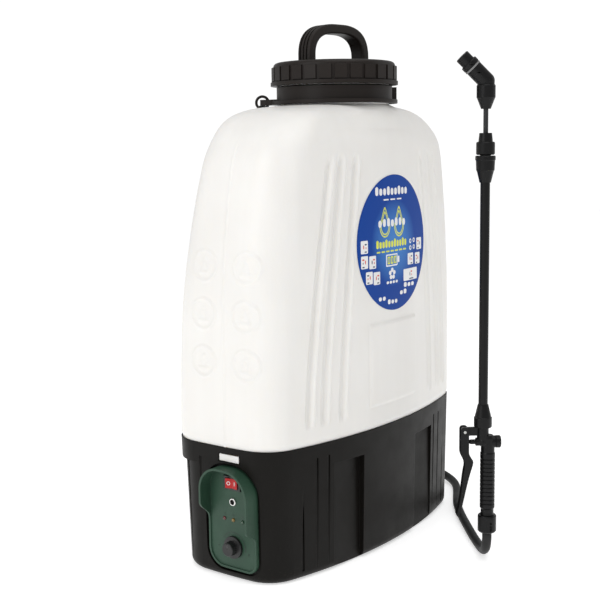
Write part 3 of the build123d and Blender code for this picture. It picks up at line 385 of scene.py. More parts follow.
def add_relief(piece):
    """Moves the skin along its own normals by the moulding of each face, fading where a face turns away."""
    normals = [v.normal.copy() for v in piece.data.vertices]
    for vertex, normal in zip(piece.data.vertices, normals):
        x, y, z = vertex.co
        if z > RELIEF_TOP:
            continue
        facing = smoothstep(0.55, 0.85, -normal.y)
        if facing > 0:
            vertex.co += normal * front_relief(x, z) * facing
        facing = smoothstep(0.75, 0.92, abs(normal.x))
        if facing > 0:
            vertex.co += normal * side_relief(y, z) * facing


def make_lug():
    """The tank's lug that shows in the tub's window above the panel."""
    shape = bmesh.new()
    place = Matrix.Translation(LUG_AT) @ Matrix.Diagonal((*LUG_SIZE, 1))
    bmesh.ops.create_cube(shape, size=1.0, matrix=place)
    bmesh.ops.bevel(shape, geom=shape.edges[:], offset=0.0008, segments=3, affect="EDGES", profile=0.5)
    return made_from(shape, "tank_lug")


tank = make_tank()
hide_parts("tank")
tank_lug = make_lug()
for piece in (tank, tank_lug):
    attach(piece, "pack")


# ------------ label on the tank
# print heights off the label face: the first layer of ink and the layer printed over it
GROUND, INK, OVER = 0.0004, 0.00052, 0.00062
# print tiles as (across, up, wide, tall) from the label's middle
TILES = ((-0.056, -0.001, 0.0124, 0.0145), (-0.056, -0.017, 0.0122, 0.0142), (-0.0423, -0.018, 0.0124, 0.0145),
         (-0.0483, -0.0342, 0.0122, 0.014), (-0.0352, -0.0357, 0.0124, 0.0145), (0.0545, -0.0052, 0.013, 0.014),
         (0.0335, -0.0206, 0.0135, 0.0135), (0.0502, -0.0213, 0.0125, 0.0135), (0.033, -0.0377, 0.033, 0.014))
DOTS = ((0.0335, -0.0009), (0.0418, -0.0004), (0.0335, -0.0084), (0.0418, -0.0079))
BATTERY_X, BATTERY_Z, BAR_PITCH = -0.0066, -0.0185, 0.0063
# rows of plain blocks where a maker's lettering would go: (first, last, height, block height, blocks, ink)
ROWS = ((-0.0365, 0.0280, 0.0555, 0.0078, 9, "white"), (-0.0225, 0.0165, 0.0470, 0.0016, 3, "white"),
        (-0.0320, 0.0228, 0.0215, 0.0080, 7, "white"), (-0.0362, 0.0248, -0.0010, 0.0074, 11, "yellow"),
        (-0.0360, 0.0245, -0.0085, 0.0018, 7, "yellow"), (-0.0180, 0.0055, -0.0425, 0.0030, 4, "white"),
        (-0.0160, 0.0045, -0.0640, 0.0044, 3, "white"), (-0.0330, -0.0185, -0.0590, 0.0044, 2, "white"),
        (0.0085, 0.0245, -0.0560, 0.0044, 2, "white"), (0.0170, 0.0420, -0.0488, 0.0044, 3, "white"))
DROPLETS = ((-0.0190, 0.0190, 0.0255), (0.0090, 0.0185, 0.0260))
FLOWER_X, FLOWER_Z, PETAL_REACH = -0.0062, -0.0335, 0.0042
label_prints = {ink: [] for ink in ("white", "yellow", "red", "dark", "blue")}


def label_patch(name, shape, lift, rings, spokes):
    """Thin skin on the label face; shape gives its edge, by share of a turn, from the label's middle."""
    points = []
    middle = Vector((0, 0))
    edge = [Vector(shape(s / spokes)) for s in range(spokes)]
    for e in edge:
        middle += e / spokes
    for k in range(rings + 1):
        share = k / rings
        for e in edge:
            spot = middle.lerp(e, share)
            drop = -0.00018 * smoothstep(0.985, 1.0, share)
            points.append(front_at(LABEL_X + spot.x, LABEL_Z + spot.y, lift + drop))
    faces = grid_faces(rings + 1, spokes, closed_columns=True)
    piece = new_object(name, points, faces)
    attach(piece, "pack")
    return piece


def box_edge(cx, cz, wide, tall, r):
    """Rounded rectangle edge for label_patch."""
    corners = [Vector((cx + sx * (wide / 2 - r), cz + sz * (tall / 2 - r)))
               for sx, sz in ((1, 1), (-1, 1), (-1, -1), (1, -1))]

    def edge(share):
        corner, along = divmod(share * 4, 1.0)
        n = int(corner) % 4
        turn = math.radians(90 * n + 90 * min(1.0, along * 2))
        on_arc = corners[n] + Vector((r * math.cos(turn), r * math.sin(turn)))
        if along <= 0.5:
            return on_arc
        next_arc = corners[(n + 1) % 4] + Vector((r * math.cos(turn), r * math.sin(turn)))
        return on_arc.lerp(next_arc, along * 2 - 1)
    return edge


def round_edge(cx, cz, rx, rz):
    """Ellipse edge for label_patch."""
    return lambda share: (cx + rx * math.cos(2 * math.pi * share), cz + rz * math.sin(2 * math.pi * share))


def drop_edge(cx, cz, size):
    """Water-drop edge for label_patch, point up."""
    def edge(share):
        turn = 2 * math.pi * share
        rise = max(0.0, math.sin(turn))
        across = size * 0.48 * math.cos(turn) * (1 - 0.45 * rise)
        return (cx + across, cz + size * (0.6 * math.sin(turn) + 0.35 * rise**3))
    return edge


def stamp(ink, name, shape, lift, rings, spokes):
    """Adds one patch of ink to the label's prints."""
    label_prints[ink].append(label_patch(name, shape, lift, rings, spokes))


def print_tiles():
    """White tiles, each with its own little drawing: two strokes, a dot and a foot, leaning in turn."""
    for n, (cx, cz, wide, tall) in enumerate(TILES):
        stamp("white", f"tile_{n}", box_edge(cx, cz, wide, tall, 0.0014), INK, 6, 48)
        lean = (-1) ** n
        marks = ((lean * 0.0022, 0.0028, 0.0022, 0.0010), (-lean * 0.0012, 0.0002, 0.0010, 0.0026),
                 (lean * 0.0026, -0.0008, 0.0008, 0.0014))
        for k, (dx, dz, rx, rz) in enumerate(marks):
            ink = "red" if (n + k) % 3 else "dark"
            stamp(ink, f"tile_mark_{n}_{k}", round_edge(cx + dx, cz + dz, rx, rz), OVER, 3, 20)
        foot = box_edge(cx + lean * 0.002, cz - 0.0050, wide * 0.34, 0.0016, 0.0006)
        stamp("dark", f"tile_foot_{n}", foot, OVER, 3, 24)


def print_dots():
    """Four ringed dots beside the tiles."""
    for n, (cx, cz) in enumerate(DOTS):
        stamp("white", f"dot_{n}", round_edge(cx, cz, 0.0027, 0.0029), INK, 4, 28)
        stamp("blue", f"dot_gap_{n}", round_edge(cx, cz, 0.0013, 0.0016), OVER, 3, 20)


def print_battery():
    """Plain battery sign with three bars."""
    nose = box_edge(BATTERY_X + 0.0135, BATTERY_Z, 0.0040, 0.0075, 0.0008)
    stamp("white", "battery_frame", box_edge(BATTERY_X, BATTERY_Z, 0.0240, 0.0140, 0.0014), INK, 6, 48)
    stamp("white", "battery_nose", nose, INK, 4, 32)
    stamp("blue", "battery_inside", box_edge(BATTERY_X, BATTERY_Z, 0.0210, 0.0112, 0.0008), OVER, 6, 48)
    for n in range(3):
        cx = BATTERY_X + BAR_PITCH * (n - 1)
        bar_edge = box_edge(cx, BATTERY_Z, 0.0056, 0.0096, 0.0008)
        core_edge = box_edge(cx, BATTERY_Z, 0.0022, 0.0060, 0.0005)
        stamp("yellow", f"battery_bar_{n}", bar_edge, OVER + 0.0001, 3, 32)
        stamp("blue", f"battery_core_{n}", core_edge, OVER + 0.0002, 3, 32)


def print_rows():
    """Rows of rounded blocks; some of the taller ones stand up a little."""
    for n, (first, last, cz, tall, count, ink) in enumerate(ROWS):
        pitch = (last - first) / count
        for k in range(count):
            rise = tall * (0.24 if tall > 0.004 and (k * k + n) % 3 == 0 else 0.0)
            spot = box_edge(first + pitch * (k + 0.5), cz + rise / 2, pitch * 0.78, tall + rise,
                            min(pitch * 0.38, tall * 0.48))
            stamp(ink, f"block_{n}_{k}", spot, INK + 0.00004, 4, 32)


def print_droplets():
    """Two plain droplets with double outlines, behind the middle row of blocks."""
    for n, (cx, cz, size) in enumerate(DROPLETS):
        for k, trim in enumerate((0.0, 0.0030, 0.0054, 0.0084)):
            ink = "blue" if k % 2 else "yellow"
            stamp(ink, f"droplet_{n}_{k}", drop_edge(cx, cz, size - trim), INK - 0.00010 + 0.00002 * k, 5, 64)


def print_flower():
    """Five-petalled flower low on the label."""
    for k in range(5):
        turn = math.radians(90 + 72 * k)
        cx, cz = FLOWER_X + PETAL_REACH * math.cos(turn), FLOWER_Z + PETAL_REACH * math.sin(turn)
        stamp("white", f"petal_{k}", round_edge(cx, cz, 0.0029, 0.0027), INK, 3, 20)


def join(name, pieces):
    """One object from several, keeping the first one's place on its body."""
    for o in bpy.context.scene.objects:
        o.select_set(False)
    for o in pieces:
        o.select_set(True)
    bpy.context.view_layer.objects.active = pieces[0]
    bpy.ops.object.join()
    pieces[0].name = name
    pieces[0].data.name = name
    return pieces[0]


label = label_patch("label_ground", round_edge(0, 0, LABEL_W, LABEL_H), GROUND, 40, 160)
print_tiles()
print_dots()
print_battery()
print_rows()
print_droplets()
print_flower()
for ink in label_prints:
    label_prints[ink] = join(f"label_{ink}_prints", label_prints[ink])


# ------------ spray hose, bending between the tub and the lance
LANCE_YAW = math.radians(-52)
LANCE_FOOT = Vector((0.0045, -0.2025, 0.036))
LANCE_OUT = Vector((math.cos(LANCE_YAW), math.sin(LANCE_YAW), 0))
LANCE_AWAY = Vector((-math.sin(LANCE_YAW), math.cos(LANCE_YAW), 0))
GRIP_FOOT = LANCE_FOOT + LANCE_OUT * 0.0053
HOSE_R = 0.005


def make_hose():
    """Hose down out of the grip, across the floor and round up into the tub's outlet."""
    low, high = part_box("outlet_fitting")
    outlet_y, outlet_z = (low.y + high.y) / 2, (low.z + high.z) / 2
    drop = [GRIP_FOOT + Vector((0, 0, -0.0008)), GRIP_FOOT + Vector((0, 0, -0.008))]
    over_floor = [GRIP_FOOT + LANCE_AWAY * 0.008 + Vector((0, 0, -0.021)),
                  GRIP_FOOT + LANCE_AWAY * 0.034 + Vector((0, 0, HOSE_R + 0.0006 - LANCE_FOOT.z)),
                  Vector((0.080, -0.146, HOSE_R + 0.0002)), Vector((0.146, -0.094, HOSE_R + 0.0002)),
                  Vector((0.226, -0.044, HOSE_R + 0.0004)), Vector((0.246, 0.006, 0.014)),
                  Vector((0.232, outlet_y - 0.004, 0.0255)), Vector((0.214, outlet_y, outlet_z))]
    home = [Vector((0.200, outlet_y, outlet_z)), Vector((0.1882, outlet_y, outlet_z))]
    piece = tube("hose_run", smooth_path(drop + over_floor + home, 260), HOSE_R, 28)
    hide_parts("spray_hose")
    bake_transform(piece)
    return piece


hose = make_hose()


# ------------ harness
RING_TURN, RING_REACH, RING_LOW_Z, RING_WIRE = math.radians(58), 0.080, 0.493 - 0.0068, 0.0018
PIN_Y, PIN_Z, PIN_R = 0.0705, 0.034, 0.0024
# the pad's middle line as (y, z), top to bottom
PAD_SPINE = ((0.0765, 0.430), (0.0895, 0.380), (0.0975, 0.320), (0.0945, 0.255), (0.0860, 0.202))
PAD_WIDTH, PAD_ROWS, PAD_COLUMNS = 0.051, 84, 18
STRAP_X, WEB_WIDTH, WEB_THICK, WEB_NECKING = 0.062, 0.029, 0.0016, 0.019
CLOTH_FRAMES = 16
STITCH, THREAD_R = 0.0028, 0.00035
X_DIR, Y_DIR, Z_DIR = Vector((1, 0, 0)), Vector((0, 1, 0)), Vector((0, 0, 1))


def flatten_cloth(piece, frames):
    """Runs the piece's cloth simulation and keeps only the mesh it ends with."""
    scene = bpy.context.scene
    for number in range(1, frames + 1):
        scene.frame_set(number)
    ready = piece.evaluated_get(bpy.context.evaluated_depsgraph_get())
    settled = bpy.data.meshes.new_from_object(ready)
    piece.modifiers.clear()
    piece.data = settled
    scene.frame_set(1)


def pad_sheets(side, name):
    """Two crowned sheets of a shoulder strap sharing their rim, with a joined rim and even normals."""
    spine = smooth_path([(0, y, z) for y, z in PAD_SPINE], PAD_ROWS)
    points = []
    for sheet in (1, -1):
        for k, spot in enumerate(spine):
            ahead = spine[min(k + 1, PAD_ROWS - 1)] - spine[max(k - 1, 0)]
            outward = Vector((0, -ahead.z, ahead.y)).normalized()
            if outward.y < 0:
                outward = -outward
            end = min(k, PAD_ROWS - 1 - k) / 6
            narrow = 1 - 0.22 * (1 - min(1.0, end)) ** 2
            for j in range(PAD_COLUMNS):
                across = 2 * j / (PAD_COLUMNS - 1) - 1
                lift = 0.0030 * (1 - across**4) * min(1.0, end)
                points.append(Vector((side * STRAP_X + across * PAD_WIDTH / 2 * narrow, 0, 0)) + spot
                              + outward * lift * sheet)
    size = PAD_ROWS * PAD_COLUMNS
    faces = grid_faces(PAD_ROWS, PAD_COLUMNS)
    faces += [tuple(size + v for v in reversed(f)) for f in grid_faces(PAD_ROWS, PAD_COLUMNS)]
    piece = new_object(name, points, faces)
    sewn = bmesh.new()
    sewn.from_mesh(piece.data)
    bmesh.ops.remove_doubles(sewn, verts=sewn.verts, dist=0.00002)
    bmesh.ops.recalc_face_normals(sewn, faces=sewn.faces)
    sewn.to_mesh(piece.data)
    sewn.free()
    return piece


def strap_pad(side, name):
    """Padded shoulder strap: two fabric sheets sewn round the edge and blown up over the foam."""
    piece = pad_sheets(side, name)
    held = piece.vertex_groups.new(name="seams")
    for v in piece.data.vertices:
        reach = abs(v.co.x - side * STRAP_X) / (PAD_WIDTH / 2)
        along = (v.co.z - PAD_SPINE[-1][1]) / (PAD_SPINE[0][1] - PAD_SPINE[-1][1])
        quilted = min(abs(along - s) for s in (0.0, 0.125, 0.375, 0.625, 0.875, 1.0)) < 0.0075
        held.add([v.index], 1.0 if reach > 0.90 or quilted else 0.0, "REPLACE")
    cloth = piece.modifiers.new("cloth", "CLOTH")
    settings = {"vertex_group_mass": "seams", "quality": 5, "mass": 0.15, "tension_stiffness": 12,
                "compression_stiffness": 12, "shear_stiffness": 4, "bending_stiffness": 0.4,
                "use_pressure": True, "uniform_pressure_force": 7.0}
    for key, value in settings.items():
        setattr(cloth.settings, key, value)
    cloth.settings.effector_weights.gravity = 0.0
    cloth.point_cache.frame_start = 1
    cloth.point_cache.frame_end = CLOTH_FRAMES
    flatten_cloth(piece, CLOTH_FRAMES)
    for polygon in piece.data.polygons:
        polygon.use_smooth = True
    return piece


def stitch_row(name, spots, normal):
    """Row of short stitches along a list of points."""
    points, faces = [], []
    for a, b in zip(spots, spots[1:]):
        ahead = (b - a).normalized()
        count = max(1, int((b - a).length / (STITCH * 1.45)))
        for n in range(count):
            start = a.lerp(b, (n + 0.15) / count)
            end = start + ahead * STITCH
            across = ahead.cross(normal).normalized() * THREAD_R
            up = normal * THREAD_R
            base = len(points)
            for t, rise in ((0.0, 0.15), (0.25, 0.95), (0.75, 0.95), (1.0, 0.15)):
                middle = start.lerp(end, t) + normal * THREAD_R * rise * 0.5
                points += [middle + across * math.cos(q) + up * math.sin(q)
                           for q in (2 * math.pi * s / 6 for s in range(6))]
            faces += [tuple(base + v for v in f) for f in grid_faces(4, 6, closed_columns=True)]
    return new_object(name, points, faces)


def web_section(half, r):
    """Flat webbing section with rounded selvedges, as (sideways, outward) points."""
    right_turns, left_turns = range(-90, 91, 45), range(90, 271, 45)
    section = [(half - r + r * math.cos(math.radians(a)), r * math.sin(math.radians(a))) for a in right_turns]
    section += [(x, r) for x in (half * 0.5, 0.0, -half * 0.5)]
    section += [(-half + r + r * math.cos(math.radians(a)), r * math.sin(math.radians(a))) for a in left_turns]
    section += [(x, -r) for x in (-half * 0.5, 0.0, half * 0.5)]
    return section


def web_path(name, path, widths):
    """Webbing that lies flat across the tank along a path, its width changing with the share of the path."""
    points = []
    for k, spot in enumerate(path):
        ahead = (path[min(k + 1, len(path) - 1)] - path[max(k - 1, 0)]).normalized()
        side = (X_DIR - ahead * X_DIR.dot(ahead)).normalized()
        up = ahead.cross(side).normalized()
        section = web_section(widths(k / (len(path) - 1)) / 2, WEB_THICK / 2)
        points += [spot + side * x + up * y for x, y in section]
    return closed_sweep(name, points, len(section))


def wear(piece):
    """Puts a harness piece on the sprayer's body."""
    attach(piece, "pack")
    return piece


def strap_point(side, y, z):
    """Point on a strap's middle line."""
    return Vector((side * STRAP_X, y, z))


def pad_bindings(side, name, spine):
    """Rounded binding along both edges of a pad."""
    rims = []
    for edge in (-1, 1):
        x = side * STRAP_X + edge * PAD_WIDTH / 2 * 0.985
        path = [Vector((x, p.y, p.z)) for p in spine[4:-4]]
        rims.append(wear(tube(f"strap_binding_{name}_{edge + 1}", path, 0.0014, 10)))
    return rims


def upper_web(side, name):
    """Upper webbing: sewn to the pad, narrowed through the collar's ring and folded back on itself."""
    ring_out = Vector((side * math.cos(RING_TURN), math.sin(RING_TURN), 0))
    ring_low = Vector((0, NECK_Y, RING_LOW_Z)) + ring_out * RING_REACH
    hold = RING_WIRE + WEB_THICK / 2 + 0.0003
    loop = []
    for a in range(-80, 261, 20):
        turn = math.radians(a)
        loop.append(ring_low + Y_DIR * hold * math.cos(turn) + Z_DIR * hold * math.sin(turn))
    rising = [Vector((side * x, y, z)) for x, y, z in ((0.0600, 0.0845, 0.4100), (0.0590, 0.0800, 0.432),
                                                       (0.0545, 0.0740, 0.458), (0.0500, 0.0680, 0.472))]
    falling = [Vector((side * x, y, z)) for x, y, z in ((0.0485, 0.0585, 0.4735), (0.0530, 0.0715, 0.456),
                                                        (0.0570, 0.0765, 0.440))]

    def width(share):
        return WEB_WIDTH - WEB_NECKING * smoothstep(0.30, 0.52, share) * (1 - smoothstep(0.62, 0.86, share))

    return wear(web_path(f"web_upper_{name}", smooth_path(rising + loop + falling, 150), width))


def lower_web(side, name):
    """Lower webbing: from the pad down through the buckle, round the pin and sewn to itself."""
    wrap = PIN_R + WEB_THICK / 2 + 0.0001
    around = []
    for a in range(10, -181, -19):
        turn = math.radians(a)
        around.append(strap_point(side, PIN_Y + wrap * math.cos(turn), PIN_Z + wrap * math.sin(turn)))
    down = [strap_point(side, y, z) for y, z in ((0.0900, 0.222), (0.0868, 0.204), (0.0850, 0.190),
                                                 (0.0815, 0.140), (0.0785, 0.096), (0.0755, 0.052))]
    up_again = [strap_point(side, y, z) for y, z in ((0.0700, 0.046), (0.0742, 0.060), (0.0767, 0.096))]
    path = smooth_path(down + around + up_again, 200)
    return wear(web_path(f"web_lower_{name}", path, lambda share: WEB_WIDTH))


def strap_stitching(side, name, pad, spine):
    """Seams along the pad's outer face and rows of tacking where the webbing is sewn to itself."""
    bpy.context.view_layer.update()
    rows = []
    for edge in (-0.80, 0.80):
        spots = []
        for p in spine[6:-6:3]:
            start = Vector((side * STRAP_X + edge * PAD_WIDTH / 2, p.y + 0.02, p.z))
            found, spot, _, _ = pad.ray_cast(start, -Y_DIR)
            if found:
                spots.append(spot)
        rows.append(stitch_row(f"pad_seam_{name}_{edge}", spots, Y_DIR))
    for z, y in ((0.088, 0.0789), (0.068, 0.0775)):
        for dz in (0.0, 0.0035):
            outer = y + WEB_THICK / 2 - 0.0002
            spots = [strap_point(side, outer, z + dz) + X_DIR * x for x in (-0.012, 0.0, 0.012)]
            rows.append(stitch_row(f"tack_{name}_{z}_{dz}", spots, Y_DIR))
    return rows


harness_threads, pads, uppers, lowers, bindings = [], [], [], [], []
for side, name in ((-1, "left"), (1, "right")):
    spine = smooth_path([(0, y, z) for y, z in PAD_SPINE], 120)
    pads.append(wear(strap_pad(side, f"strap_pad_{name}")))
    bindings += pad_bindings(side, name, spine)
    uppers.append(upper_web(side, name))
    lowers.append(lower_web(side, name))
    harness_threads += strap_stitching(side, name, pads[-1], spine)
for made, node_name in ((pads, "shoulder_straps"), (uppers, "upper_webbing"), (lowers, "lower_webbing")):
    for piece in made:
        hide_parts(node_name)
threads = join("harness_stitching", harness_threads)
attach(threads, "pack")


# ------------ marks on the control panel
FACE_X, CONTROLS_Y, KNOB_Z, SWITCH_Z, LED_Z = -0.181, -0.0146, 0.0352, 0.1036, 0.0642
LED_Y = (0.0115, 0.0, -0.012)
INK_X = FACE_X - 0.00012
DIAL_R, DIAL_MARK_R, HOOP_STEPS = 0.0158, 0.0205, 48
# the rocker's pivot, how it rests, and how far each half of its face slopes
ROCKER_PIVOT = Vector((FACE_X + 0.0025, CONTROLS_Y, SWITCH_Z))
ROCKER_REST = Matrix.Rotation(math.radians(6), 4, "Z")
ROCKER_SLOPE = math.atan2(1.6, 7.2)


def bar(name, centre, size):
    """Small raised print on the panel: size is (across, up, thick)."""
    block = bmesh.new()
    place = Matrix.Translation(centre) @ Matrix.Diagonal((size[2], size[0], size[1], 1))
    bmesh.ops.create_cube(block, size=1.0, matrix=place)
    return made_from(block, name)


def hoop(name, centre, radius, thick, start=0.0, end=360.0, grow=0.0):
    """Flat ring or arc printed on the panel, optionally widening along its length."""
    points = []
    for k in range(HOOP_STEPS + 1):
        share = k / HOOP_STEPS
        turn = math.radians(start + (end - start) * share)
        width = thick * (1 + grow * share)
        for r in (radius - width / 2, radius + width / 2):
            points.append(Vector(centre) + Vector((0, -math.sin(turn) * r, math.cos(turn) * r)))
    return new_object(name, points, [f[::-1] for f in grid_faces(HOOP_STEPS + 1, 2)])


def print_panel():
    """Thin dark arc that widens clockwise round the knob, marks past its ends and a sign over each light."""
    prints = [hoop("dial_arc", (INK_X, CONTROLS_Y, KNOB_Z), DIAL_R, 0.0004, -60, 100, 1.5)]
    for n, degrees in enumerate((-95, 105)):
        turn = math.radians(degrees)
        spot = Vector((INK_X, CONTROLS_Y - math.sin(turn) * DIAL_MARK_R, KNOB_Z + math.cos(turn) * DIAL_MARK_R))
        for k in range(1 + n):
            at = spot + Vector((0, 0, 0.0014 * k))
            prints.append(bar(f"dial_mark_{n}_{k}", at, (0.0022, 0.0005, 0.0002)))
    for n, y in enumerate(LED_Y):
        spot = Vector((INK_X, CONTROLS_Y + y, LED_Z + 0.0052))
        prints.append(bar(f"led_sign_{n}", spot, (0.0022, 0.0004, 0.0002)))
    return join("panel_prints", prints)


def print_rocker():
    """Stroke and ring on the two halves of the rocker's face."""
    stroke = bar("rocker_stroke", Vector((0, 0, 0)), (0.0008, 0.0040, 0.0002))
    ring = hoop("rocker_ring", (0, 0, 0), 0.0017, 0.0006)
    for sign, mark in ((1, stroke), (-1, ring)):
        turn = ROCKER_REST @ Matrix.Rotation(-ROCKER_SLOPE * sign, 4, "Z")
        centre = ROCKER_PIVOT + ROCKER_REST @ Vector((-0.00548, -0.0037 * sign, 0))
        mark.data.transform(Matrix.Translation(centre) @ turn)
    return join("rocker_marks", [stroke, ring])


panel_prints = print_panel()
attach(panel_prints, "pack")
pointer = bar("knob_pointer", Vector((FACE_X - 0.01108, CONTROLS_Y, KNOB_Z + 0.0035)), (0.0007, 0.0036, 0.0003))
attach(pointer, "speed_knob")
rocker_marks = print_rocker()
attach(rocker_marks, "rocker")


# ------------ materials
def feed(shader, **inputs):
    """Sets a shader node's inputs; each is a value, or a socket to link, by input name with _ for spaces."""
    for key, value in inputs.items():
        socket = shader.inputs[int(key[1:]) if key[1:].isdigit() else key.replace("_", " ")]
        if isinstance(value, bpy.types.NodeSocket):
            shader.id_data.links.new(value, socket)
        else:
            socket.default_value = value


def node(tree, kind, settings=None, **inputs):
    """Adds a shader node with its settings and inputs."""
    made = tree.nodes.new(kind)
    for key, value in (settings or {}).items():
        setattr(made, key, value)
    feed(made, **inputs)
    return made


def combine(tree, operation, first, second, clamp=False):
    """Result of one operation on two values."""
    settings = {"operation": operation, "use_clamp": clamp}
    return node(tree, "ShaderNodeMath", settings, i0=first, i1=second).outputs[0]


def start_material(name):
    """New material with its node tree, main shader and object-space position."""
    material = bpy.data.materials.new(name)
    material.use_nodes = True
    tree = material.node_tree
    place = node(tree, "ShaderNodeTexCoord").outputs["Object"]
    return material, tree, tree.nodes["Principled BSDF"], place


def noise(tree, place, scale, detail=3.0):
    """Noise value over an object, with scale in features per metre."""
    return node(tree, "ShaderNodeTexNoise", Vector=place, Scale=scale, Detail=detail).outputs["Fac"]


def spread(tree, value, low, high, from_low=0.3, from_high=0.7):
    """Value remapped from the usual spread of a noise to low..high."""
    return node(tree, "ShaderNodeMapRange", Value=value, From_Min=from_low, From_Max=from_high, To_Min=low,
                To_Max=high).outputs["Result"]


def tint(tree, fac, first, second):
    """Colour mixed from two, colours or sockets, by a value."""
    mix = node(tree, "ShaderNodeMix", {"data_type": "RGBA"}, Factor=fac)
    for name, colour in (("A", first), ("B", second)):
        target = next(i for i in mix.inputs if i.name == name and i.type == "RGBA")
        if isinstance(colour, bpy.types.NodeSocket):
            tree.links.new(colour, target)
        else:
            target.default_value = (*colour, 1)
    return next(o for o in mix.outputs if o.type == "RGBA")


def relief(tree, height, distance, **under):
    """Bump from a height value, over a softened normal where Normal is given."""
    made = node(tree, "ShaderNodeBump", Height=height, Distance=distance, Strength=1.0, **under)
    return made.outputs["Normal"]


def soft_edges(tree, radius):
    """Normal that rounds every sharp edge by radius."""
    return node(tree, "ShaderNodeBevel", {"samples": 4}, Radius=radius).outputs["Normal"]


def shades(colour, low, high):
    """A colour darkened and lightened, never past full."""
    return tuple(c * low for c in colour), tuple(min(1.0, c * high) for c in colour)


def plain(name, colour, rough, contrast=0.12, grain=900, depth=0.00006, metallic=0.0, specular=0.5,
          edge=0.0004, blotch=22):
    """Moulded or machined finish: slow colour change, fine grain and softened edges."""
    material, tree, main, place = start_material(name)
    slow = spread(tree, noise(tree, place, blotch, 4), 0.0, 1.0)
    ground = tint(tree, slow, *shades(colour, 1 - contrast, 1 + contrast))
    gloss = spread(tree, noise(tree, place, blotch * 3, 3), rough * 0.88, rough * 1.12)
    skin = relief(tree, noise(tree, place, grain, 2), depth, Normal=soft_edges(tree, edge))
    feed(main, Base_Color=ground, Roughness=gloss, Normal=skin, Metallic=metallic, Specular_IOR_Level=specular)
    return material


def tank_finish():
    """Milky polyethylene: light goes in a little way, with faint vertical flow lines and a scuffed skin."""
    material, tree, main, place = start_material("tank_plastic_skin")
    stretched = node(tree, "ShaderNodeMapping", Vector=place, Scale=(1, 1, 0.12)).outputs["Vector"]
    flow = noise(tree, stretched, 60, 3)
    cloud = spread(tree, noise(tree, place, 9, 4), 0.0, 1.0)
    body = tint(tree, cloud, (0.800, 0.785, 0.755), (0.845, 0.833, 0.808))
    ground = tint(tree, spread(tree, flow, 0.0, 0.35), body, (0.775, 0.755, 0.725))
    gloss = spread(tree, noise(tree, place, 130, 3), 0.30, 0.40)
    skin = relief(tree, combine(tree, "ADD", noise(tree, place, 420, 2), flow), 0.00010)
    feed(main, Base_Color=ground, Roughness=gloss, Normal=skin, Specular_IOR_Level=0.4, Subsurface_Weight=0.25,
         Subsurface_Radius=(1.0, 0.9, 0.75), Subsurface_Scale=0.006)
    return material


def tub_finish(name, colour, rough, specular):
    """Black moulded plastic with fine spark grain and pale scuffs near the floor."""
    material, tree, main, place = start_material(name)
    parts = node(tree, "ShaderNodeSeparateXYZ", Vector=place)
    low = spread(tree, parts.outputs["Z"], 1.0, 0.0, 0.0, 0.022)
    scratch_place = node(tree, "ShaderNodeMapping", Vector=place, Scale=(1, 1, 6)).outputs["Vector"]
    scratch = spread(tree, noise(tree, scratch_place, 170, 6), 0.0, 1.0, 0.56, 0.72)
    worn = combine(tree, "MULTIPLY", low, scratch)
    slow = spread(tree, noise(tree, place, 18, 4), 0.0, 1.0)
    ground = tint(tree, slow, *shades(colour, 0.86, 1.14))
    scuffed = tint(tree, worn, ground, shades(colour, 1.0, 4.5)[1])
    gloss = spread(tree, noise(tree, place, 60, 3), rough * 0.9, rough * 1.1)
    skin = relief(tree, noise(tree, place, 1300, 2), 0.00007, Normal=soft_edges(tree, 0.0009))
    feed(main, Base_Color=scuffed, Roughness=gloss, Normal=skin, Specular_IOR_Level=specular)
    return material


def lens_finish(name, colour):
    """Tinted lens, glossy and a little deep."""
    material, tree, main, place = start_material(name)
    deep = spread(tree, noise(tree, place, 700, 2), 0.0, 1.0)
    feed(main, Base_Color=tint(tree, deep, *shades(colour, 0.7, 1.0)), Roughness=0.12, Coat_Weight=0.6,
         Transmission_Weight=0.15)
    return material


def woven(name, colour, across, along, depth, fuzz):
    """Woven cloth or webbing: ribs across X and along Z, with loose fibres."""
    material, tree, main, place = start_material(name)
    waves = []
    for axis, count in (("X", across), ("Z", along)):
        settings = {"bands_direction": axis}
        band = node(tree, "ShaderNodeTexWave", settings, Vector=place, Scale=count, Distortion=0.5)
        waves.append(band.outputs["Fac"])
    height = combine(tree, "ADD", combine(tree, "MULTIPLY", *waves), noise(tree, place, 2600, 3))
    ground = tint(tree, spread(tree, height, 0.0, 1.0, 0.3, 1.5), *shades(colour, 0.55, 1.5))
    feed(main, Base_Color=ground, Normal=relief(tree, height, depth), Roughness=0.88, Sheen_Weight=fuzz,
         Sheen_Roughness=0.5, Specular_IOR_Level=0.2)
    return material


def label_finish():
    """Printed blue label: brighter towards its middle, deeper at the rim, under a clear film."""
    material, tree, main, place = start_material("label_blue_film")
    parts = node(tree, "ShaderNodeSeparateXYZ", Vector=place)
    squares = []
    for axis, centre, half in (("X", LABEL_X, LABEL_W), ("Z", LABEL_Z, LABEL_H)):
        scaled = combine(tree, "DIVIDE", combine(tree, "SUBTRACT", parts.outputs[axis], centre), half)
        squares.append(combine(tree, "POWER", scaled, 2.0))
    rim = spread(tree, combine(tree, "ADD", *squares), 0.0, 1.0, 0.0, 0.42)
    dotted = spread(tree, noise(tree, place, 1800, 2), -0.03, 0.03)
    share = combine(tree, "ADD", rim, dotted, clamp=True)
    skin = relief(tree, noise(tree, place, 260, 2), 0.00005)
    feed(main, Base_Color=tint(tree, share, (0.060, 0.215, 0.560), (0.0035, 0.050, 0.290)), Roughness=0.42,
         Specular_IOR_Level=0.12, Normal=skin)
    return material


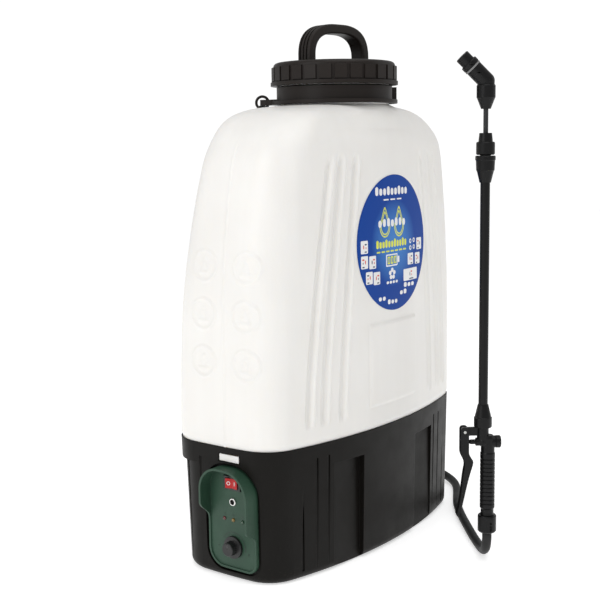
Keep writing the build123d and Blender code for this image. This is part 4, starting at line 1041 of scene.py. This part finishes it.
finishes = {
    "tank_plastic": tank_finish(),
    "black_plastic": tub_finish("black_plastic_skin", (0.0052, 0.0045, 0.0036), 0.44, 0.13),
    "ring_plastic": tub_finish("ring_plastic_skin", (0.0140, 0.0105, 0.0088), 0.42, 0.20),
    "panel_plastic": plain("panel_green_skin", (0.020, 0.058, 0.034), 0.50, 0.10, 1100, 0.00008, specular=0.4,
                           edge=0.0007),
    "switch_black": plain("switch_black_skin", (0.010, 0.010, 0.010), 0.28),
    "switch_red": plain("switch_red_skin", (0.42, 0.010, 0.010), 0.30, 0.10, 900, 0.00003, specular=0.3),
    "steel_bright": plain("bright_nickel", (0.74, 0.73, 0.71), 0.16, 0.06, 500, 0.00002, 1.0),
    "steel_zinc": plain("zinc_plate", (0.50, 0.50, 0.48), 0.38, 0.16, 700, 0.00003, 1.0, blotch=160),
    "led_red": lens_finish("led_red_lens", (0.12, 0.008, 0.010)),
    "led_amber": lens_finish("led_amber_lens", (0.26, 0.15, 0.02)),
    "led_green": lens_finish("led_green_lens", (0.012, 0.060, 0.024)),
    "knob_plastic": plain("knob_plastic_skin", (0.0085, 0.0085, 0.0090), 0.42, 0.14, 1500, 0.00006),
    "board_green": plain("board_green_skin", (0.010, 0.115, 0.040), 0.36, 0.20, 400, 0.00004, blotch=120),
    "battery_blue": plain("battery_wrap", (0.012, 0.070, 0.240), 0.30, 0.10, 200, 0.00005),
    "motor_steel": plain("motor_can", (0.42, 0.42, 0.41), 0.34, 0.14, 600, 0.00003, 1.0, blotch=90),
    "rubber_black": plain("black_rubber", (0.012, 0.012, 0.012), 0.62, 0.20, 800, 0.00009, specular=0.35),
    "clear_hose": plain("clear_hose_skin", (0.55, 0.56, 0.52), 0.22, 0.08, 300, 0.00004),
    "strainer_white": plain("strainer_white_skin", (0.72, 0.71, 0.68), 0.40, 0.05, 700, 0.00005),
    "lance_plastic": plain("lance_plastic_skin", (0.0045, 0.0045, 0.0048), 0.32, 0.14, 1200, 0.00004,
                           specular=0.20),
    "rod_grey": plain("rod_grey_skin", (0.018, 0.019, 0.020), 0.40, 0.14, 900, 0.00004, specular=0.35),
    "oring_grey": plain("oring_grey_skin", (0.16, 0.16, 0.16), 0.55, 0.10, 900, 0.00005),
    "brass": plain("brass_turned", (0.62, 0.42, 0.16), 0.26, 0.12, 500, 0.00003, 1.0, blotch=120),
    "strap_fabric": woven("strap_cloth", (0.016, 0.016, 0.018), 520, 520, 0.00022, 0.35),
    "webbing": woven("webbing_weave", (0.012, 0.012, 0.013), 260, 620, 0.00030, 0.25),
}
inks = {
    "blue": label_finish(),
    "white": plain("print_white_ink", (0.80, 0.80, 0.80), 0.36, 0.03, 900, 0.00002),
    "yellow": plain("print_yellow_ink", (0.68, 0.72, 0.05), 0.36, 0.05, 900, 0.00002),
    "red": plain("print_red_ink", (0.62, 0.06, 0.03), 0.36, 0.06, 900, 0.00002),
    "dark": plain("print_dark_ink", (0.012, 0.040, 0.10), 0.36, 0.10, 900, 0.00002),
    "panel": plain("panel_dark_ink", (0.008, 0.022, 0.014), 0.45, 0.05, 900, 0.00002),
    "pointer": plain("pointer_grey_ink", (0.10, 0.10, 0.10), 0.45, 0.05, 900, 0.00002),
    "thread": plain("black_thread", (0.030, 0.030, 0.032), 0.60, 0.20, 3000, 0.00005),
}


def dress(piece, material):
    """Gives a piece one material."""
    piece.data.materials.clear()
    piece.data.materials.append(material)


for part in frame["record"]["subparts"]:
    dress(NODES[part["node"]], finishes[part["material_slot"]])
# the collar is moulded with the screw ring and shares its brownish black
dress(NODES["neck_collar"], finishes["ring_plastic"])
for piece, slot in ((tank, "tank_plastic"), (tank_lug, "tank_plastic"), (hose, "rubber_black")):
    dress(piece, finishes[slot])
for piece in pads:
    dress(piece, finishes["strap_fabric"])
for piece in uppers + lowers + bindings:
    dress(piece, finishes["webbing"])
for ink, piece in label_prints.items():
    dress(piece, inks[ink])
for piece, ink in ((label, "blue"), (panel_prints, "panel"), (pointer, "pointer"), (rocker_marks, "white"),
                   (threads, "thread")):
    dress(piece, inks[ink])


# ------------ floor, light and camera
FLOOR_HALF, FLOOR_GLOW = 6.0, 0.52
AIR_LIGHT, AIR_SEEN = 0.55, 1.05


def lay_floor():
    """Plain pale floor that glows a little, so that it fades into the background."""
    corners = [(x * FLOOR_HALF, y * FLOOR_HALF, -0.0002) for x, y in ((-1, -1), (1, -1), (1, 1), (-1, 1))]
    floor = new_object("studio_floor", corners, [(0, 1, 2, 3)])
    paint = plain("studio_floor_paint", (0.90, 0.90, 0.90), 0.75, 0.01, 30, 0.00002, specular=0.1)
    feed(paint.node_tree.nodes["Principled BSDF"], Emission_Color=(1, 1, 1, 1), Emission_Strength=FLOOR_GLOW)
    dress(floor, paint)


def light_air():
    """White surroundings, softer as a light than as a background."""
    world = bpy.data.worlds.new("studio")
    world.use_nodes = True
    bpy.context.scene.world = world
    tree = world.node_tree
    is_seen = node(tree, "ShaderNodeLightPath").outputs["Is Camera Ray"]
    feed(tree.nodes["Background"], Color=(1.0, 1.0, 1.0, 1.0),
         Strength=spread(tree, is_seen, AIR_LIGHT, AIR_SEEN, 0.0, 1.0))


def soft_box(name, place, aim, size, power):
    """Square area light aimed at a point."""
    lamp = bpy.data.lights.new(name, "AREA")
    lamp.energy = power
    lamp.size = size
    stand = bpy.data.objects.new(name, lamp)
    bpy.context.scene.collection.objects.link(stand)
    stand.location = place
    stand.rotation_euler = (Vector(aim) - Vector(place)).to_track_quat("-Z", "Y").to_euler()


def place_camera():
    """Camera off the corner between the panel side and the label face, rolled very slightly."""
    turn, lift, roll = math.radians(-52.63), math.radians(8.06), math.radians(-0.78)
    behind = Vector((math.sin(turn) * math.cos(lift), -math.cos(turn) * math.cos(lift), math.sin(lift)))
    level = Vector((0, 0, 1)).cross(behind).normalized()
    upright = behind.cross(level)
    right = level * math.cos(roll) + upright * math.sin(roll)
    upright = upright * math.cos(roll) - level * math.sin(roll)
    lens = bpy.data.cameras.new("camera")
    lens.lens = 67.22
    camera = bpy.data.objects.new("camera", lens)
    bpy.context.scene.collection.objects.link(camera)
    facing = Matrix((right, upright, behind)).transposed().to_4x4()
    camera.matrix_world = Matrix.Translation((-1.0219, -0.7470, 0.4501)) @ facing
    bpy.context.scene.camera = camera


lay_floor()
light_air()
soft_box("key_left", (-2.2, 0.3, 1.3), (0.0, 0.0, 0.25), 1.4, 15)
soft_box("top_fill", (-0.3, -0.5, 2.4), (0.0, 0.0, 0.3), 1.8, 16)
soft_box("rim_right", (1.6, -1.4, 1.2), (0.1, -0.1, 0.25), 0.8, 2)
place_camera()
bpy.context.scene.view_settings.view_transform = "Standard"

bpy.context.view_layer.update()
